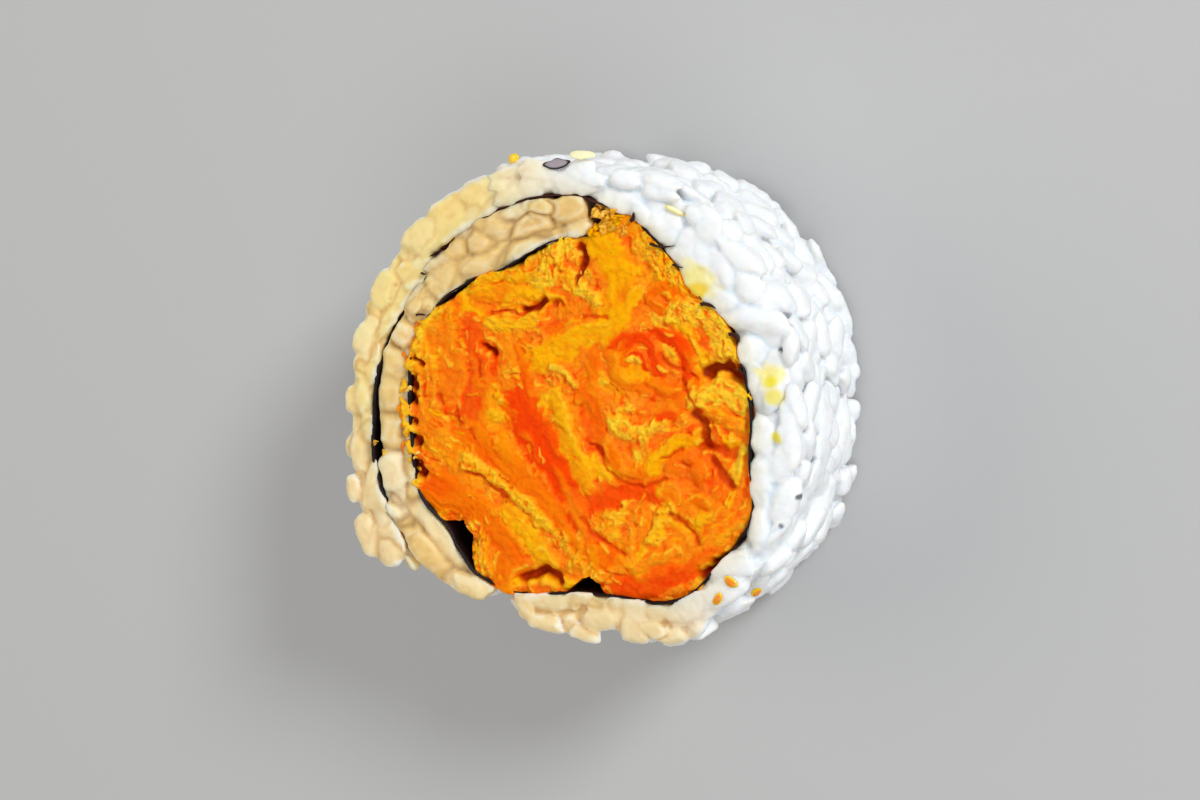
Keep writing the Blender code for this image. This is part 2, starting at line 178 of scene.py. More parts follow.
def crumbs_of(points: np.ndarray, scale: float, seed: int) -> np.ndarray:
    """Rounded lumps from 0 to 1: one less the squared distance to the nearest scattered point, in cells.

    Args:
        points: x, y, z in the last axis; z plays no part.
        scale: a cell's side.
        seed: which lumps.

    Returns:
        One value a point.
    """
    place = points[..., :2] / scale
    cell = np.floor(place).astype(np.int64)
    nearest = np.full(place.shape[:-1], 9.0)
    for near in np.ndindex(3, 3):
        other = cell + np.array(near) - 1
        key = np.concatenate([other, np.zeros_like(other[..., :1])], axis=-1)
        spot = other + 0.15 + 0.7 * np.stack([lattice(key, seed), lattice(key, seed + 1)], axis=-1)
        nearest = np.minimum(nearest, ((place - spot) ** 2).sum(axis=-1))
    return 1 - np.clip(nearest, 0, 1)


def with_height(x: np.ndarray, y: np.ndarray, z: float | np.ndarray = 0.0) -> np.ndarray:
    """x, y and z side by side in a last axis."""
    return np.stack(np.broadcast_arrays(x, y, z), axis=-1).astype(float)


def around_axis(radius: np.ndarray, turn: np.ndarray, z: float | np.ndarray = 0.0) -> np.ndarray:
    """Points at a distance from the roll's axis, turned from +X by radians, at height z."""
    return with_height(radius * np.cos(turn), radius * np.sin(turn), z)


@dataclass
class Winding:
    """The spiral that the sheet of nori follows, and the strips of rice that lie on it."""

    start: float = 75.0
    step: float = 15.0
    radii: tuple[float, ...] = (
        18.0, 17.3, 16.4, 15.7, 17.0, 18.3, 18.8, 18.6, 19.0, 20.3, 20.1, 21.6,
        21.2, 19.8, 20.6, 22.8, 22.4, 22.2, 19.9, 19.3, 19.0, 18.9, 17.9, 19.2,
        20.4, 21.5, 21.5, 21.5, 21.5, 21.1, 22.1, 22.7, 23.8, 24.6, 25.3,
    )
    first: float = 84.0
    last: float = 579.0
    thickness: float = 0.3
    hollows: tuple[tuple[float, float, float], ...] = ((230.0, 11.0, 2.5), (275.0, 8.0, 1.8))
    fish_step: tuple[float, float] = (74.0, 82.0)

    def sheet(self, angle: np.ndarray) -> np.ndarray:
        """Distance from the roll's middle to the middle of the sheet."""
        return catmull_rom(self.radii, (angle - self.start) / self.step)

    def rice_back(self, angle: np.ndarray) -> np.ndarray:
        """The rice's inner face, just outside the sheet."""
        return self.sheet(angle) + self.thickness / 2

    def fish_rim(self, angle: np.ndarray) -> np.ndarray:
        """The filling's side: just inside the sheet, less the hollows that stay open.

        Args:
            angle: from start to start + 360.

        Returns:
            Distances from the roll's middle.
        """
        low, high = self.fish_step
        covered = np.clip((angle - low) / (high - low), 0, 1)
        radius = covered * self.sheet(angle) + (1 - covered) * self.sheet(angle + 360)
        radius = radius - self.thickness / 2 - GAP / 2
        for middle, reach, depth in self.hollows:
            share = np.clip(np.abs(angle - middle) / reach, 0, 1)
            radius = radius - depth * (1 + np.cos(np.pi * share)) / 2
        return radius

    def around(self, x: np.ndarray, y: np.ndarray, near: float | np.ndarray) -> np.ndarray:
        """The winding of each point, on the turn closest to near."""
        angle = np.degrees(np.arctan2(y, x))
        return near + (angle - near + 180) % 360 - 180


WINDING = Winding()


class Shift:
    """Carries points from the roll's middle, in millimetres, into the frame, in metres."""

    def __init__(self) -> None:
        """Finds the shift between the sheet's own box and the one that the frame gives for it."""
        angle = np.arange(WINDING.first, WINDING.last + 2.5, 5.0)
        radius = WINDING.sheet(angle) - WINDING.thickness / 2
        outer = WINDING.sheet(angle) + WINDING.thickness / 2
        turn = np.radians(np.concatenate([angle, angle]))
        far = np.concatenate([radius, outer])
        low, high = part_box("nori")
        middle_x = ((far * np.cos(turn)).max() + (far * np.cos(turn)).min()) / 2
        middle_y = ((far * np.sin(turn)).max() + (far * np.sin(turn)).min()) / 2
        self.x = (low[0] + high[0]) / 2 - middle_x * MM
        self.y = (low[1] + high[1]) / 2 - middle_y * MM

    def to_frame(self, points: np.ndarray) -> np.ndarray:
        """Millimetres about the roll's middle to metres in the frame."""
        return points * MM + np.array([self.x, self.y, 0.0])

    def from_frame(self, points: np.ndarray) -> np.ndarray:
        """Metres in the frame to millimetres about the roll's middle."""
        return (points - np.array([self.x, self.y, 0.0])) / MM


SHIFT = Shift()


def add_mesh(name: str, points: np.ndarray, faces: Sequence[np.ndarray]) -> bpy.types.Object:
    """A new smooth object at the origin.

    Args:
        name: the object's name.
        points: millimetres about the roll's middle, n by 3.
        faces: arrays of corner numbers, one array for each number of corners.

    Returns:
        The object, its mesh in metres in the frame.
    """
    mesh = bpy.data.meshes.new(name)
    corners = [face for group in faces for face in group.tolist()]
    mesh.from_pydata(SHIFT.to_frame(points.reshape(-1, 3)).tolist(), [], corners)
    mesh.shade_smooth()
    made = bpy.data.objects.new(name, mesh)
    bpy.context.scene.collection.objects.link(made)
    return made


def grid_faces(rows: int, columns: int, closed: bool = False) -> np.ndarray:
    """Four-cornered faces of a rows by columns grid, whose last column meets the first where closed.

    Args:
        rows: points one way.
        columns: points the other way.
        closed: whether the columns form a ring.

    Returns:
        The faces' corner numbers, n by 4.
    """
    number = np.arange(rows * columns).reshape(rows, columns)
    if closed:
        number = np.concatenate([number, number[:, :1]], axis=1)
    here, there = number[:-1], number[1:]
    corners = [here[:, :-1], here[:, 1:], there[:, 1:], there[:, :-1]]
    return np.stack(corners, axis=-1).reshape(-1, 4)


def point_outwards(made: bpy.types.Object) -> None:
    """Recalculates the mesh's normals.

    Args:
        made: the object.
    """
    work = bmesh.new()
    work.from_mesh(made.data)
    bmesh.ops.recalc_face_normals(work, faces=work.faces)
    work.to_mesh(made.data)
    work.free()


def apply_modifiers(made: bpy.types.Object) -> None:
    """Makes the object's evaluated mesh its own.

    Args:
        made: the object, whose modifiers are dropped.
    """
    bpy.context.view_layer.update()
    graph = bpy.context.evaluated_depsgraph_get()
    mesh = bpy.data.meshes.new_from_object(made.evaluated_get(graph))
    made.modifiers.clear()
    made.data = mesh
    mesh.shade_smooth()


def paint(made: bpy.types.Object, colours: np.ndarray) -> None:
    """Stores one linear colour a vertex in the attribute tone.

    Args:
        made: the object.
        colours: linear red, green and blue, one row a vertex.
    """
    layer = made.data.color_attributes.new("tone", "FLOAT_COLOR", "POINT")
    rgba = np.ones((len(made.data.vertices), 4), np.float32)
    rgba[:, :3] = colours
    layer.data.foreach_set("color", rgba.ravel())


def mesh_points(made: bpy.types.Object) -> tuple[np.ndarray, np.ndarray]:
    """The mesh's vertices in millimetres about the roll's middle, and their normals.

    Args:
        made: the object.

    Returns:
        Points and normals, each n by 3.
    """
    count = len(made.data.vertices)
    points = np.empty(count * 3, np.float32)
    normals = np.empty(count * 3, np.float32)
    made.data.vertices.foreach_get("co", points)
    made.data.vertices.foreach_get("normal", normals)
    return SHIFT.from_frame(points.reshape(-1, 3).astype(float)), normals.reshape(-1, 3).astype(float)


def unit_ball(subdivisions: int) -> tuple[np.ndarray, np.ndarray]:
    """Vertices and triangles of an icosphere of radius 1.

    Args:
        subdivisions: how fine; each one more makes four times the triangles.

    Returns:
        Points n by 3, and the triangles' corner numbers.
    """
    work = bmesh.new()
    bmesh.ops.create_icosphere(work, subdivisions=subdivisions, radius=1.0)
    points = np.array([vert.co[:] for vert in work.verts])
    faces = np.array([[vert.index for vert in face.verts] for face in work.faces])
    work.free()
    return points, faces


def copies(points: np.ndarray, faces: np.ndarray, after: int = 0) -> np.ndarray:
    """The faces of many copies of one shape, whose points (copies by points by 3) follow after others."""
    offsets = after + points.shape[1] * np.arange(len(points))
    return (faces[None] + offsets[:, None, None]).reshape(-1, faces.shape[1])


def blend(base: np.ndarray, other: np.ndarray, share: np.ndarray) -> np.ndarray:
    """Colours moved from base towards other by share."""
    return base + (other - base) * share[..., None]


def standing_out(made: bpy.types.Object, rounds: int) -> np.ndarray:
    """How far each vertex stands out of the surface round it, in millimetres.

    Every point is replaced by the mean of its neighbours, rounds times over. The way from there back to the
    point, measured along its normal, is above 0 on a crest and below 0 in a crease.

    Args:
        made: the object.
        rounds: how often the mean is taken.

    Returns:
        One value a vertex.
    """
    points, normals = mesh_points(made)
    ends = np.empty(len(made.data.edges) * 2, np.int32)
    made.data.edges.foreach_get("vertices", ends)
    near, far = ends.reshape(-1, 2).T
    count = len(points)
    degree = np.bincount(near, minlength=count) + np.bincount(far, minlength=count)
    soft = points.copy()
    for _ in range(rounds):
        total = np.empty_like(soft)
        for axis in range(3):
            total[:, axis] = np.bincount(near, soft[far, axis], count)
            total[:, axis] += np.bincount(far, soft[near, axis], count)
        soft = total / np.maximum(degree, 1)[:, None]
    return ((points - soft) * normals).sum(axis=1)


class MoistRelief:
    """A node group of fine skin relief, used by every food here, with its own scale and depth in each."""

    def __init__(self) -> None:
        """Builds the group: fine noise for the height, coarse noise for mottle and roughness."""
        tree = bpy.data.node_groups.new("moist_relief", "ShaderNodeTree")
        face = tree.interface
        given_values = {"Scale": 900.0, "Depth": 1.0, "Roughness": 0.4, "Variation": 0.15, "Patches": 260.0}
        for title, value in given_values.items():
            face.new_socket(title, in_out="INPUT", socket_type="NodeSocketFloat").default_value = value
        for title in ("Height", "Roughness", "Mottle"):
            face.new_socket(title, in_out="OUTPUT", socket_type="NodeSocketFloat")
        self.tree = tree
        nodes, links = tree.nodes, tree.links
        given = nodes.new("NodeGroupInput")
        out = nodes.new("NodeGroupOutput")
        place = nodes.new("ShaderNodeTexCoord")
        fine = nodes.new("ShaderNodeTexNoise")
        fine.inputs["Detail"].default_value = 4.0
        links.new(place.outputs["Object"], fine.inputs["Vector"])
        links.new(given.outputs["Scale"], fine.inputs["Scale"])
        deep = nodes.new("ShaderNodeMath")
        deep.operation = "MULTIPLY"
        links.new(fine.outputs["Fac"], deep.inputs[0])
        links.new(given.outputs["Depth"], deep.inputs[1])
        links.new(deep.outputs[0], out.inputs["Height"])
        coarse = nodes.new("ShaderNodeTexNoise")
        coarse.inputs["Detail"].default_value = 5.0
        links.new(given.outputs["Patches"], coarse.inputs["Scale"])
        links.new(place.outputs["Object"], coarse.inputs["Vector"])
        links.new(coarse.outputs["Fac"], out.inputs["Mottle"])
        centred = nodes.new("ShaderNodeMath")
        centred.operation = "SUBTRACT"
        centred.inputs[1].default_value = 0.5
        links.new(coarse.outputs["Fac"], centred.inputs[0])
        spread = nodes.new("ShaderNodeMath")
        spread.operation = "MULTIPLY_ADD"
        links.new(centred.outputs[0], spread.inputs[0])
        links.new(given.outputs["Variation"], spread.inputs[1])
        links.new(given.outputs["Roughness"], spread.inputs[2])
        links.new(spread.outputs[0], out.inputs["Roughness"])


@dataclass(frozen=True)
class Finish:
    """A moist food's surface: its colour is the tone attribute, mottled, under fine relief."""

    name: str
    roughness: float
    variation: float
    relief_scale: float
    relief_depth: float
    mottle: float
    scatter: float
    scatter_radius: tuple[float, float, float]
    specular: float = 0.5
    coat: float = 0.0
    patches: float = 260.0
    patch_colour: Colour = (0.0, 0.0, 0.0)

    def make(self, relief: MoistRelief) -> bpy.types.Material:
        """Builds the material.

        Args:
            relief: the shared group of fine relief.

        Returns:
            A material with a Principled BSDF.
        """
        made = bpy.data.materials.new(self.name)
        made.use_nodes = True
        nodes, links = made.node_tree.nodes, made.node_tree.links
        shader = nodes["Principled BSDF"]
        tone = nodes.new("ShaderNodeAttribute")
        tone.attribute_name = "tone"
        skin = nodes.new("ShaderNodeGroup")
        skin.node_tree = relief.tree
        skin.inputs["Scale"].default_value = self.relief_scale
        skin.inputs["Depth"].default_value = self.relief_depth
        skin.inputs["Roughness"].default_value = self.roughness
        skin.inputs["Variation"].default_value = self.variation
        skin.inputs["Patches"].default_value = self.patches
        darker = nodes.new("ShaderNodeMapRange")
        darker.inputs["From Min"].default_value = 0.56
        darker.inputs["From Max"].default_value = 0.34
        darker.inputs["To Min"].default_value = 0.0
        darker.inputs["To Max"].default_value = self.mottle
        links.new(skin.outputs["Mottle"], darker.inputs["Value"])
        patch = nodes.new("ShaderNodeVectorMath")
        patch.operation = "MULTIPLY"
        patch.inputs[1].default_value = self.patch_colour
        links.new(tone.outputs["Color"], patch.inputs[0])
        shade = nodes.new("ShaderNodeMix")
        shade.data_type = "RGBA"
        links.new(darker.outputs["Result"], shade.inputs["Factor"])
        links.new(tone.outputs["Color"], shade.inputs["A"])
        links.new(patch.outputs["Vector"], shade.inputs["B"])
        links.new(shade.outputs["Result"], shader.inputs["Base Color"])
        links.new(skin.outputs["Roughness"], shader.inputs["Roughness"])
        bump = nodes.new("ShaderNodeBump")
        bump.inputs["Strength"].default_value = 1.0
        bump.inputs["Distance"].default_value = MM
        links.new(skin.outputs["Height"], bump.inputs["Height"])
        links.new(bump.outputs["Normal"], shader.inputs["Normal"])
        shader.inputs["Subsurface Weight"].default_value = self.scatter
        shader.inputs["Subsurface Radius"].default_value = self.scatter_radius
        shader.inputs["Subsurface Scale"].default_value = MM
        shader.inputs["Specular IOR Level"].default_value = self.specular
        shader.inputs["Coat Weight"].default_value = self.coat
        shader.inputs["Coat Roughness"].default_value = 0.2
        return made


RICE_FINISH = Finish(
    "pressed_rice", 0.42, 0.2, 1500.0, 0.08, 0.6, 0.75, (1.7, 1.4, 1.1), 0.35, 0.0, 900.0, (0.93, 0.91, 0.86)
)
NORI_FINISH = Finish("moist_nori", 0.5, 0.3, 2200.0, 0.12, 0.5, 0.0, (1.0, 1.0, 1.0), 0.25)
FISH_FINISH = Finish(
    "flaked_fish", 0.42, 0.3, 2600.0, 0.1, 0.5, 0.25, (1.0, 0.35, 0.05), 0.04, 0.0, 1500.0, (0.88, 0.5, 0.2)
)
SEED_FINISH = Finish("sesame_husk", 0.5, 0.2, 3000.0, 0.05, 0.2, 0.0, (1.0, 1.0, 1.0), 0.4)
ROE_FINISH = Finish("roe_skin", 0.2, 0.05, 900.0, 0.01, 0.05, 0.4, (0.6, 0.3, 0.1), 0.6)


def dress(made: bpy.types.Object, material: bpy.types.Material) -> None:
    """Gives the piece its material and the body that it rides on.

    Args:
        made: the piece.
        material: its only one.
    """
    made.data.materials.clear()
    made.data.materials.append(material)
    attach(made, "root")
    LOG.info("%s: %d faces", made.name, len(made.data.polygons))


@dataclass
class Grains:
    """Many cooked grains, held as arrays with one row a grain."""

    middle: np.ndarray
    along: np.ndarray
    out: np.ndarray
    size: np.ndarray
    seed: int = 0
    bluntness: float = 0.35
    taper: float = 0.16
    facets: int = 12
    facet_reach: tuple[float, float] = (0.66, 1.0)

    def axes(self) -> np.ndarray:
        """Three unit axes a grain: along, across and flat, as an array by 3 by 3.

        Returns:
            Grains by axes by coordinates.
        """
        along = self.along / np.linalg.norm(self.along, axis=1, keepdims=True)
        across = np.cross(self.out, along)
        across /= np.linalg.norm(across, axis=1, keepdims=True)
        return np.stack([along, across, np.cross(along, across)], axis=1)

    def points(self, ball: np.ndarray) -> np.ndarray:
        """Every grain's surface.

        What lies beyond each of a few random planes is pressed back to it, which gives flat facets. The
        ball is then stretched to half of each size along the grain's three axes. Its girth swells towards
        the ends by bluntness, narrows to one end by taper, and its middle line bends by a share of its
        length.

        Args:
            ball: points of the unit ball.

        Returns:
            An array of grains by points by 3.
        """
        rng = np.random.default_rng(self.seed)
        count = len(self.middle)
        shaped = np.tile(ball, (count, 1, 1))
        facing = rng.normal(0, 1, (self.facets, count, 1, 3))
        facing /= np.linalg.norm(facing, axis=-1, keepdims=True)
        reach = rng.uniform(*self.facet_reach, (self.facets, count, 1, 1))
        for normal, limit in zip(facing, reach):
            beyond = (shaped * normal).sum(axis=-1, keepdims=True) - limit
            shaped = shaped - 0.9 * np.clip(beyond, 0, None) * normal
        pole = shaped[..., 0]
        taper = rng.uniform(-self.taper, self.taper, (count, 1))
        girth = (1 + self.bluntness * pole**2 * (1 - pole**2)) * (1 + taper * pole)
        bend = rng.uniform(-0.08, 0.08, (count, 1)) * (1 - pole**2)
        half = self.size / 2
        u = pole * half[:, :1]
        v = shaped[..., 1] * half[:, 1:2] * girth + bend * half[:, :1]
        w = shaped[..., 2] * half[:, 2:3] * girth
        return self.middle[:, None] + np.einsum("gpk,gkc->gpc", np.stack([u, v, w], axis=-1), self.axes())


@dataclass(frozen=True)
class Owners:
    """Each skin point's grain, its distance from the next grain's part, and how clear the seam is."""

    grain: np.ndarray
    inside: np.ndarray
    clear: np.ndarray


class Packing:
    """The grains of one piece, asked which of them owns each point of its skin."""

    def __init__(self, sets: Sequence[Grains], weights: Sequence[float], chosen: np.ndarray) -> None:
        """Readies the chosen grains.

        Args:
            sets: all grains of the strip.
            weights: of each set; a grain of less weight owns more of the skin round it.
            chosen: whether each grain belongs to the piece.
        """
        weight = np.repeat(weights, [len(grains.middle) for grains in sets])[chosen]
        half = np.concatenate([grains.size for grains in sets])[chosen] / 2
        axes = np.concatenate([grains.axes() for grains in sets])[chosen]
        middle = np.concatenate([grains.middle for grains in sets])[chosen]
        self.width = half[:, 1]
        self.clear = np.where(weight < 0.85, 1.0, 0.4)
        self.scaled = axes * (weight[:, None] / half)[..., None]
        self.offset = np.einsum("gkc,gc->gk", self.scaled, middle)

    def owners(self, points: np.ndarray) -> Owners:
        """Finds each point's owner.

        A point's depth in a grain is the length of the way from the grain's middle, counted along its
        axes in half sizes. The least depth names the owner. The next least one, less the least, in half
        widths, is twice the distance from the line between both grains.

        Args:
            points: n by 3.

        Returns:
            The owners.
        """
        matrix = self.scaled.reshape(-1, 3).T.astype(np.float32)
        grain, inside, clear = [], [], []
        for part in np.array_split(points.astype(np.float32), len(points) // 4000 + 1):
            way = (part @ matrix).reshape(len(part), -1, 3) - self.offset.astype(np.float32)
            depth = np.sqrt((way**2).sum(axis=-1))
            nearest = depth.argmin(axis=1)
            least = depth[np.arange(len(part)), nearest]
            depth[np.arange(len(part)), nearest] = np.inf
            other = depth.argmin(axis=1)
            grain.append(nearest)
            inside.append((depth[np.arange(len(part)), other] - least) * self.width[nearest] / 2)
            clear.append(np.maximum(self.clear[nearest], self.clear[other]))
        seam = 0.35 + 0.65 * smoothstep(-0.5, 0.4, noise(points, 3.0, 71))
        return Owners(np.concatenate(grain), np.concatenate(inside), np.concatenate(clear) * seam)


def nearly_up(rng: np.random.Generator, count: int, wobble: float) -> np.ndarray:
    """Count ways that point up, each turned off by a normal draw of spread wobble."""
    return np.array([0.0, 0.0, 1.0]) + rng.normal(0, wobble, (count, 3))


def scatter(rng: np.random.Generator, span: Sequence[float], apart: float, tries: int) -> np.ndarray:
    """Points thrown one by one into a rectangle and kept where none is closer than apart.

    Args:
        rng: random numbers.
        span: the rectangle's sides.
        apart: least distance.
        tries: points thrown.

    Returns:
        The kept points, n by 2.
    """
    kept = np.empty((0, 2))
    for spot in rng.uniform((0, 0), span, (tries, 2)):
        if not len(kept) or ((kept - spot) ** 2).sum(axis=1).min() > apart**2:
            kept = np.vstack([kept, spot])
    return kept


@dataclass(frozen=True)
class PlacedGrain:
    """A grain that the cut face shows: its middle, length, width, turn from +X and depth under the cut."""

    x: float
    y: float
    length: float
    width: float
    turn: float
    drop: float


@dataclass
class RiceStrip:
    """One strip of pressed rice on the sheet, in arcs that each become one remeshed piece."""

    name: str
    node: str
    depth_start: float
    depth: tuple[float, ...]
    first: float
    last: float
    arcs: int
    seed: int
    placed: tuple[PlacedGrain, ...] = ()
    voxel: float = 0.21
    end_turn: float = 6.0
    core_inset: float = 0.5
    core_below_cut: float = 0.9
    grain_length: tuple[float, float] = (5.2, 7.4)
    grain_width: tuple[float, float] = (2.8, 3.6)
    grain_thickness: tuple[float, float] = (2.0, 2.6)
    lean: float = 62.0
    apart: float = 2.6
    apart_proud: float = 3.3
    apart_cut: float = 2.4
    proud: tuple[float, float] = (-0.2, 0.6)
    proud_upper: tuple[float, float] = (0.8, 1.9)
    most_proud: float = 1.9
    cut_step: float = 0.22
    foot_step: float = 1.6
    rest_drop: float = 0.12
    cut_dome: float = 0.45
    shoulder: tuple[float, float] = (0.3, 1.5)
    pitch: float = 26.0
    overlap: tuple[float, float] = (0.04, 0.48)
    edge_apart: float = 2.3
    edge_inset: tuple[float, float] = (0.55, 0.95)
    clearance: float = 0.6
    roughness: tuple[tuple[float, float], ...] = ((0.10, 1.5), (0.07, 0.55))
    bridge: tuple[float, float, float] = (0.0, 0.0, 0.0)
    seam_depth: tuple[float, float] = (0.02, 0.28)
    seam_reach: float = 0.42
    calm: tuple[float, float, float] = (450.0, 522.0, 0.6)
    side_bluntness: float = 0.7
    side_edge: float = 0.7
    side_scale: tuple[tuple[float, ...], ...] = ((0.66, 0.85, 0.8), (0.9, 1.1, 1.0))
    side_tilt: float = 0.2
    calm_fade: float = 10.0
    under_cut: float = 2.5
    tries: tuple[int, int] = (6000, 4000)
    cut_span: float = 6.4
    cut_lean: float = 40.0
    cut_dip: float = 0.3
    cut_sunk: tuple[float, float] = (0.4, 1.2)
    edge_size: tuple[tuple[float, ...], ...] = ((3.4, 1.7, 1.8), (5.4, 2.5, 2.4))
    edge_sunk: float = 0.8
    thickest_placed: float = 2.6
    corner_share: float = 0.7
    bridge_lap: float = 0.4
    bridge_fade: float = 6.0
    lap_depth: tuple[float, float] = (1.5, 0.5)
    next_turn_lap: tuple[float, float] = (0.1, 0.35)
    pieces: list[bpy.types.Object] = field(default_factory=list)

    @property
    def middle(self) -> float:
        """The winding halfway between the strip's ends."""
        return (self.first + self.last) / 2

    @property
    def one_degree(self) -> float:
        """The way round the outer face for one degree."""
        return math.radians(1) * float(self.rim(np.array([self.middle]))[0])

    def rim(self, angle: np.ndarray) -> np.ndarray:
        """The strip's outer face under its grains, rounded in at both blunt ends.

        Args:
            angle: windings.

        Returns:
            Distances from the roll's middle.
        """
        depth = catmull_rom(self.depth, (angle - self.depth_start) / WINDING.step)
        near_end = np.clip(np.minimum(angle - self.first, self.last - angle) / self.end_turn, 0, 1)
        rounded = 0.3 + 0.7 * np.sqrt(1 - (1 - near_end) ** 2)
        rim = WINDING.rice_back(angle) + (depth - self.core_inset) * rounded
        return np.where(angle + 360 < WINDING.last, np.minimum(rim, self.tucked(angle)), rim)

    def tucked(self, angle: np.ndarray) -> np.ndarray:
        """The inner face of the sheet's next turn, which the strip may not cross."""
        return WINDING.sheet(angle + 360) - WINDING.thickness / 2 - 0.08

    def core(self, low: float, high: float) -> tuple[np.ndarray, np.ndarray]:
        """The strip's plain body between two windings: a four-cornered section carried round the spiral.

        Args:
            low: where the arc begins.
            high: where it ends.

        Returns:
            Its points, and its faces with four corners.
        """
        angle = np.linspace(low, high, int((high - low) / 1.5) + 2)
        inner, outer = WINDING.rice_back(angle) + 0.1, self.rim(angle) - 0.15
        outer = np.maximum(outer, inner + 0.5)
        turn = np.radians(angle)
        top, bottom = LENGTH - self.core_below_cut, self.core_below_cut
        section = []
        for radius, height in ((inner, bottom), (outer, bottom), (outer, top), (inner, top)):
            section.append(around_axis(radius, turn, height))
        points = np.stack(section, axis=1)
        faces = grid_faces(len(angle), 4, closed=True)
        ends = np.array([[0, 1, 2, 3], [0, 3, 2, 1]])
        ends[1] += 4 * (len(angle) - 1)
        return points.reshape(-1, 3), np.concatenate([faces, ends])

    def surface(self, winding: np.ndarray) -> tuple[np.ndarray, np.ndarray, np.ndarray]:
        """Points of the outer face, the way along it and the way out of it, each an array by 3.

        Args:
            winding: of each point.

        Returns:
            The points, the ways along and the ways out.
        """
        step = 0.5
        places = []
        for angle in (winding - step, winding, winding + step):
            radius, turn = self.rim(angle), np.radians(angle)
            places.append(around_axis(radius, turn))
        along = places[2] - places[0]
        along /= np.linalg.norm(along, axis=1, keepdims=True)
        out = np.cross(along, np.array([0, 0, 1.0]))
        return places[1], along, out

    def sizes(self, rng: np.random.Generator, count: int) -> np.ndarray:
        """Length, width and thickness of count grains."""
        spans = np.array([self.grain_length, self.grain_width, self.grain_thickness])
        return rng.uniform(spans[:, 0], spans[:, 1], (count, 3))

    def side_grains(
        self, rng: np.random.Generator, apart: float, proud: tuple[float, float]
    ) -> tuple[Grains, np.ndarray, np.ndarray]:
        """Grains lying flat against the outer face.

        Args:
            rng: the strip's random numbers.
            apart: least distance between their middles.
            proud: how far their outer faces stand beyond the strip.

        Returns:
            The grains, the winding of each, and its depth under the cut where it reaches it.
        """
        one_degree = self.one_degree
        span = (self.last - self.first) * one_degree, LENGTH - 2 * self.side_edge
        spots = scatter(rng, span, apart, self.tries[0])
        winding = self.first + spots[:, 0] / one_degree
        count = len(winding)
        place, along, out = self.surface(winding)
        size = self.sizes(rng, count) * rng.uniform(*self.side_scale, (count, 3))
        low, high, share = self.calm
        fade = self.calm_fade
        calmer = 1 - share * smoothstep(low - fade, low, winding) * smoothstep(high + fade, high, winding)
        lift = rng.uniform(*proud, count) * calmer - size[:, 2] / 2
        middle = place + out * lift[:, None]
        middle[:, 2] = spots[:, 1] + self.side_edge
        keep = self.clear_of_placed(middle[:, :2], 0.0) | (middle[:, 2] < LENGTH - self.under_cut)
        middle, along, out, size, winding = middle[keep], along[keep], out[keep], size[keep], winding[keep]
        calmer = calmer[keep]
        count = len(winding)
        lean = np.radians(rng.uniform(-self.lean, self.lean, count))
        up = np.array([0, 0, 1.0])
        tilt = rng.normal(0, self.side_tilt, (count, 3))
        pitch = np.radians(rng.uniform(-self.pitch, self.pitch, count)) * (proud[1] > 0.5) * calmer**2
        way = along * np.cos(lean)[:, None] + up * np.sin(lean)[:, None] + out * np.sin(pitch)[:, None]
        step = np.where(middle[:, 2] < LENGTH / 2, self.foot_step, self.cut_step)
        grains = Grains(middle, way, out + tilt, size, self.seed, self.side_bluntness)
        return grains, winding, rng.uniform(0, 1, count) * step

    def clear_of_placed(self, flat: np.ndarray, clearance: float) -> np.ndarray:
        """Whether each place on the cut face lies outside every placed grain, widened by a clearance.

        Args:
            flat: x and y of each place.
            clearance: how much wider each grain counts all round.

        Returns:
            One truth value a place.
        """
        x, y, length, width, turn = np.array([(g.x, g.y, g.length, g.width, g.turn) for g in self.placed]).T
        off = flat[:, None] - np.stack([x, y], axis=1)
        cosine, sine = np.cos(np.radians(turn)), np.sin(np.radians(turn))
        along = (off[..., 0] * cosine + off[..., 1] * sine) / (length / 2 + clearance)
        across = (off[..., 1] * cosine - off[..., 0] * sine) / (width / 2 + clearance)
        return np.hypot(along, across).min(axis=1) > 1

    def cut_grains(self, rng: np.random.Generator) -> tuple[Grains, np.ndarray, np.ndarray]:
        """Grains across both cut faces, which the knife has sliced level; it skips those that are placed.

        Args:
            rng: the strip's random numbers.

        Returns:
            The grains, the winding of each, and its depth under the cut.
        """
        middles, windings = [], []
        one_degree = self.one_degree
        for height in (0.0, LENGTH):
            span = (self.last - self.first) * one_degree, self.cut_span
            spots = scatter(rng, span, self.apart_cut, self.tries[1])
            winding = self.first + spots[:, 0] / one_degree
            radius = WINDING.rice_back(winding) + 0.4 + spots[:, 1]
            turn = np.radians(winding)
            flat = around_axis(radius, turn)[:, :2]
            clear = self.clear_of_placed(flat, self.clearance) | (height == 0.0)
            keep = (radius < self.rim(winding) - 0.2) & clear
            flat, winding = flat[keep], winding[keep]
            inward = rng.uniform(*self.cut_sunk, len(winding)) * (1 if height == 0.0 else -1)
            middles.append(with_height(flat[:, 0], flat[:, 1], height + inward))
            windings.append(winding)
        middle, winding = np.concatenate(middles), np.concatenate(windings)
        count = len(winding)
        _, along, out = self.surface(winding)
        lean = np.radians(rng.normal(0, self.cut_lean, count))
        dip = rng.normal(0, self.cut_dip, count)
        way = along * np.cos(lean)[:, None] + out * np.sin(lean)[:, None]
        way = way + np.array([0, 0, 1.0]) * dip[:, None]
        up = nearly_up(rng, count, 0.2)
        drop = self.rest_drop + rng.uniform(0, self.cut_step, count)
        return Grains(middle, way, up, self.sizes(rng, count), self.seed + 1), winding, drop

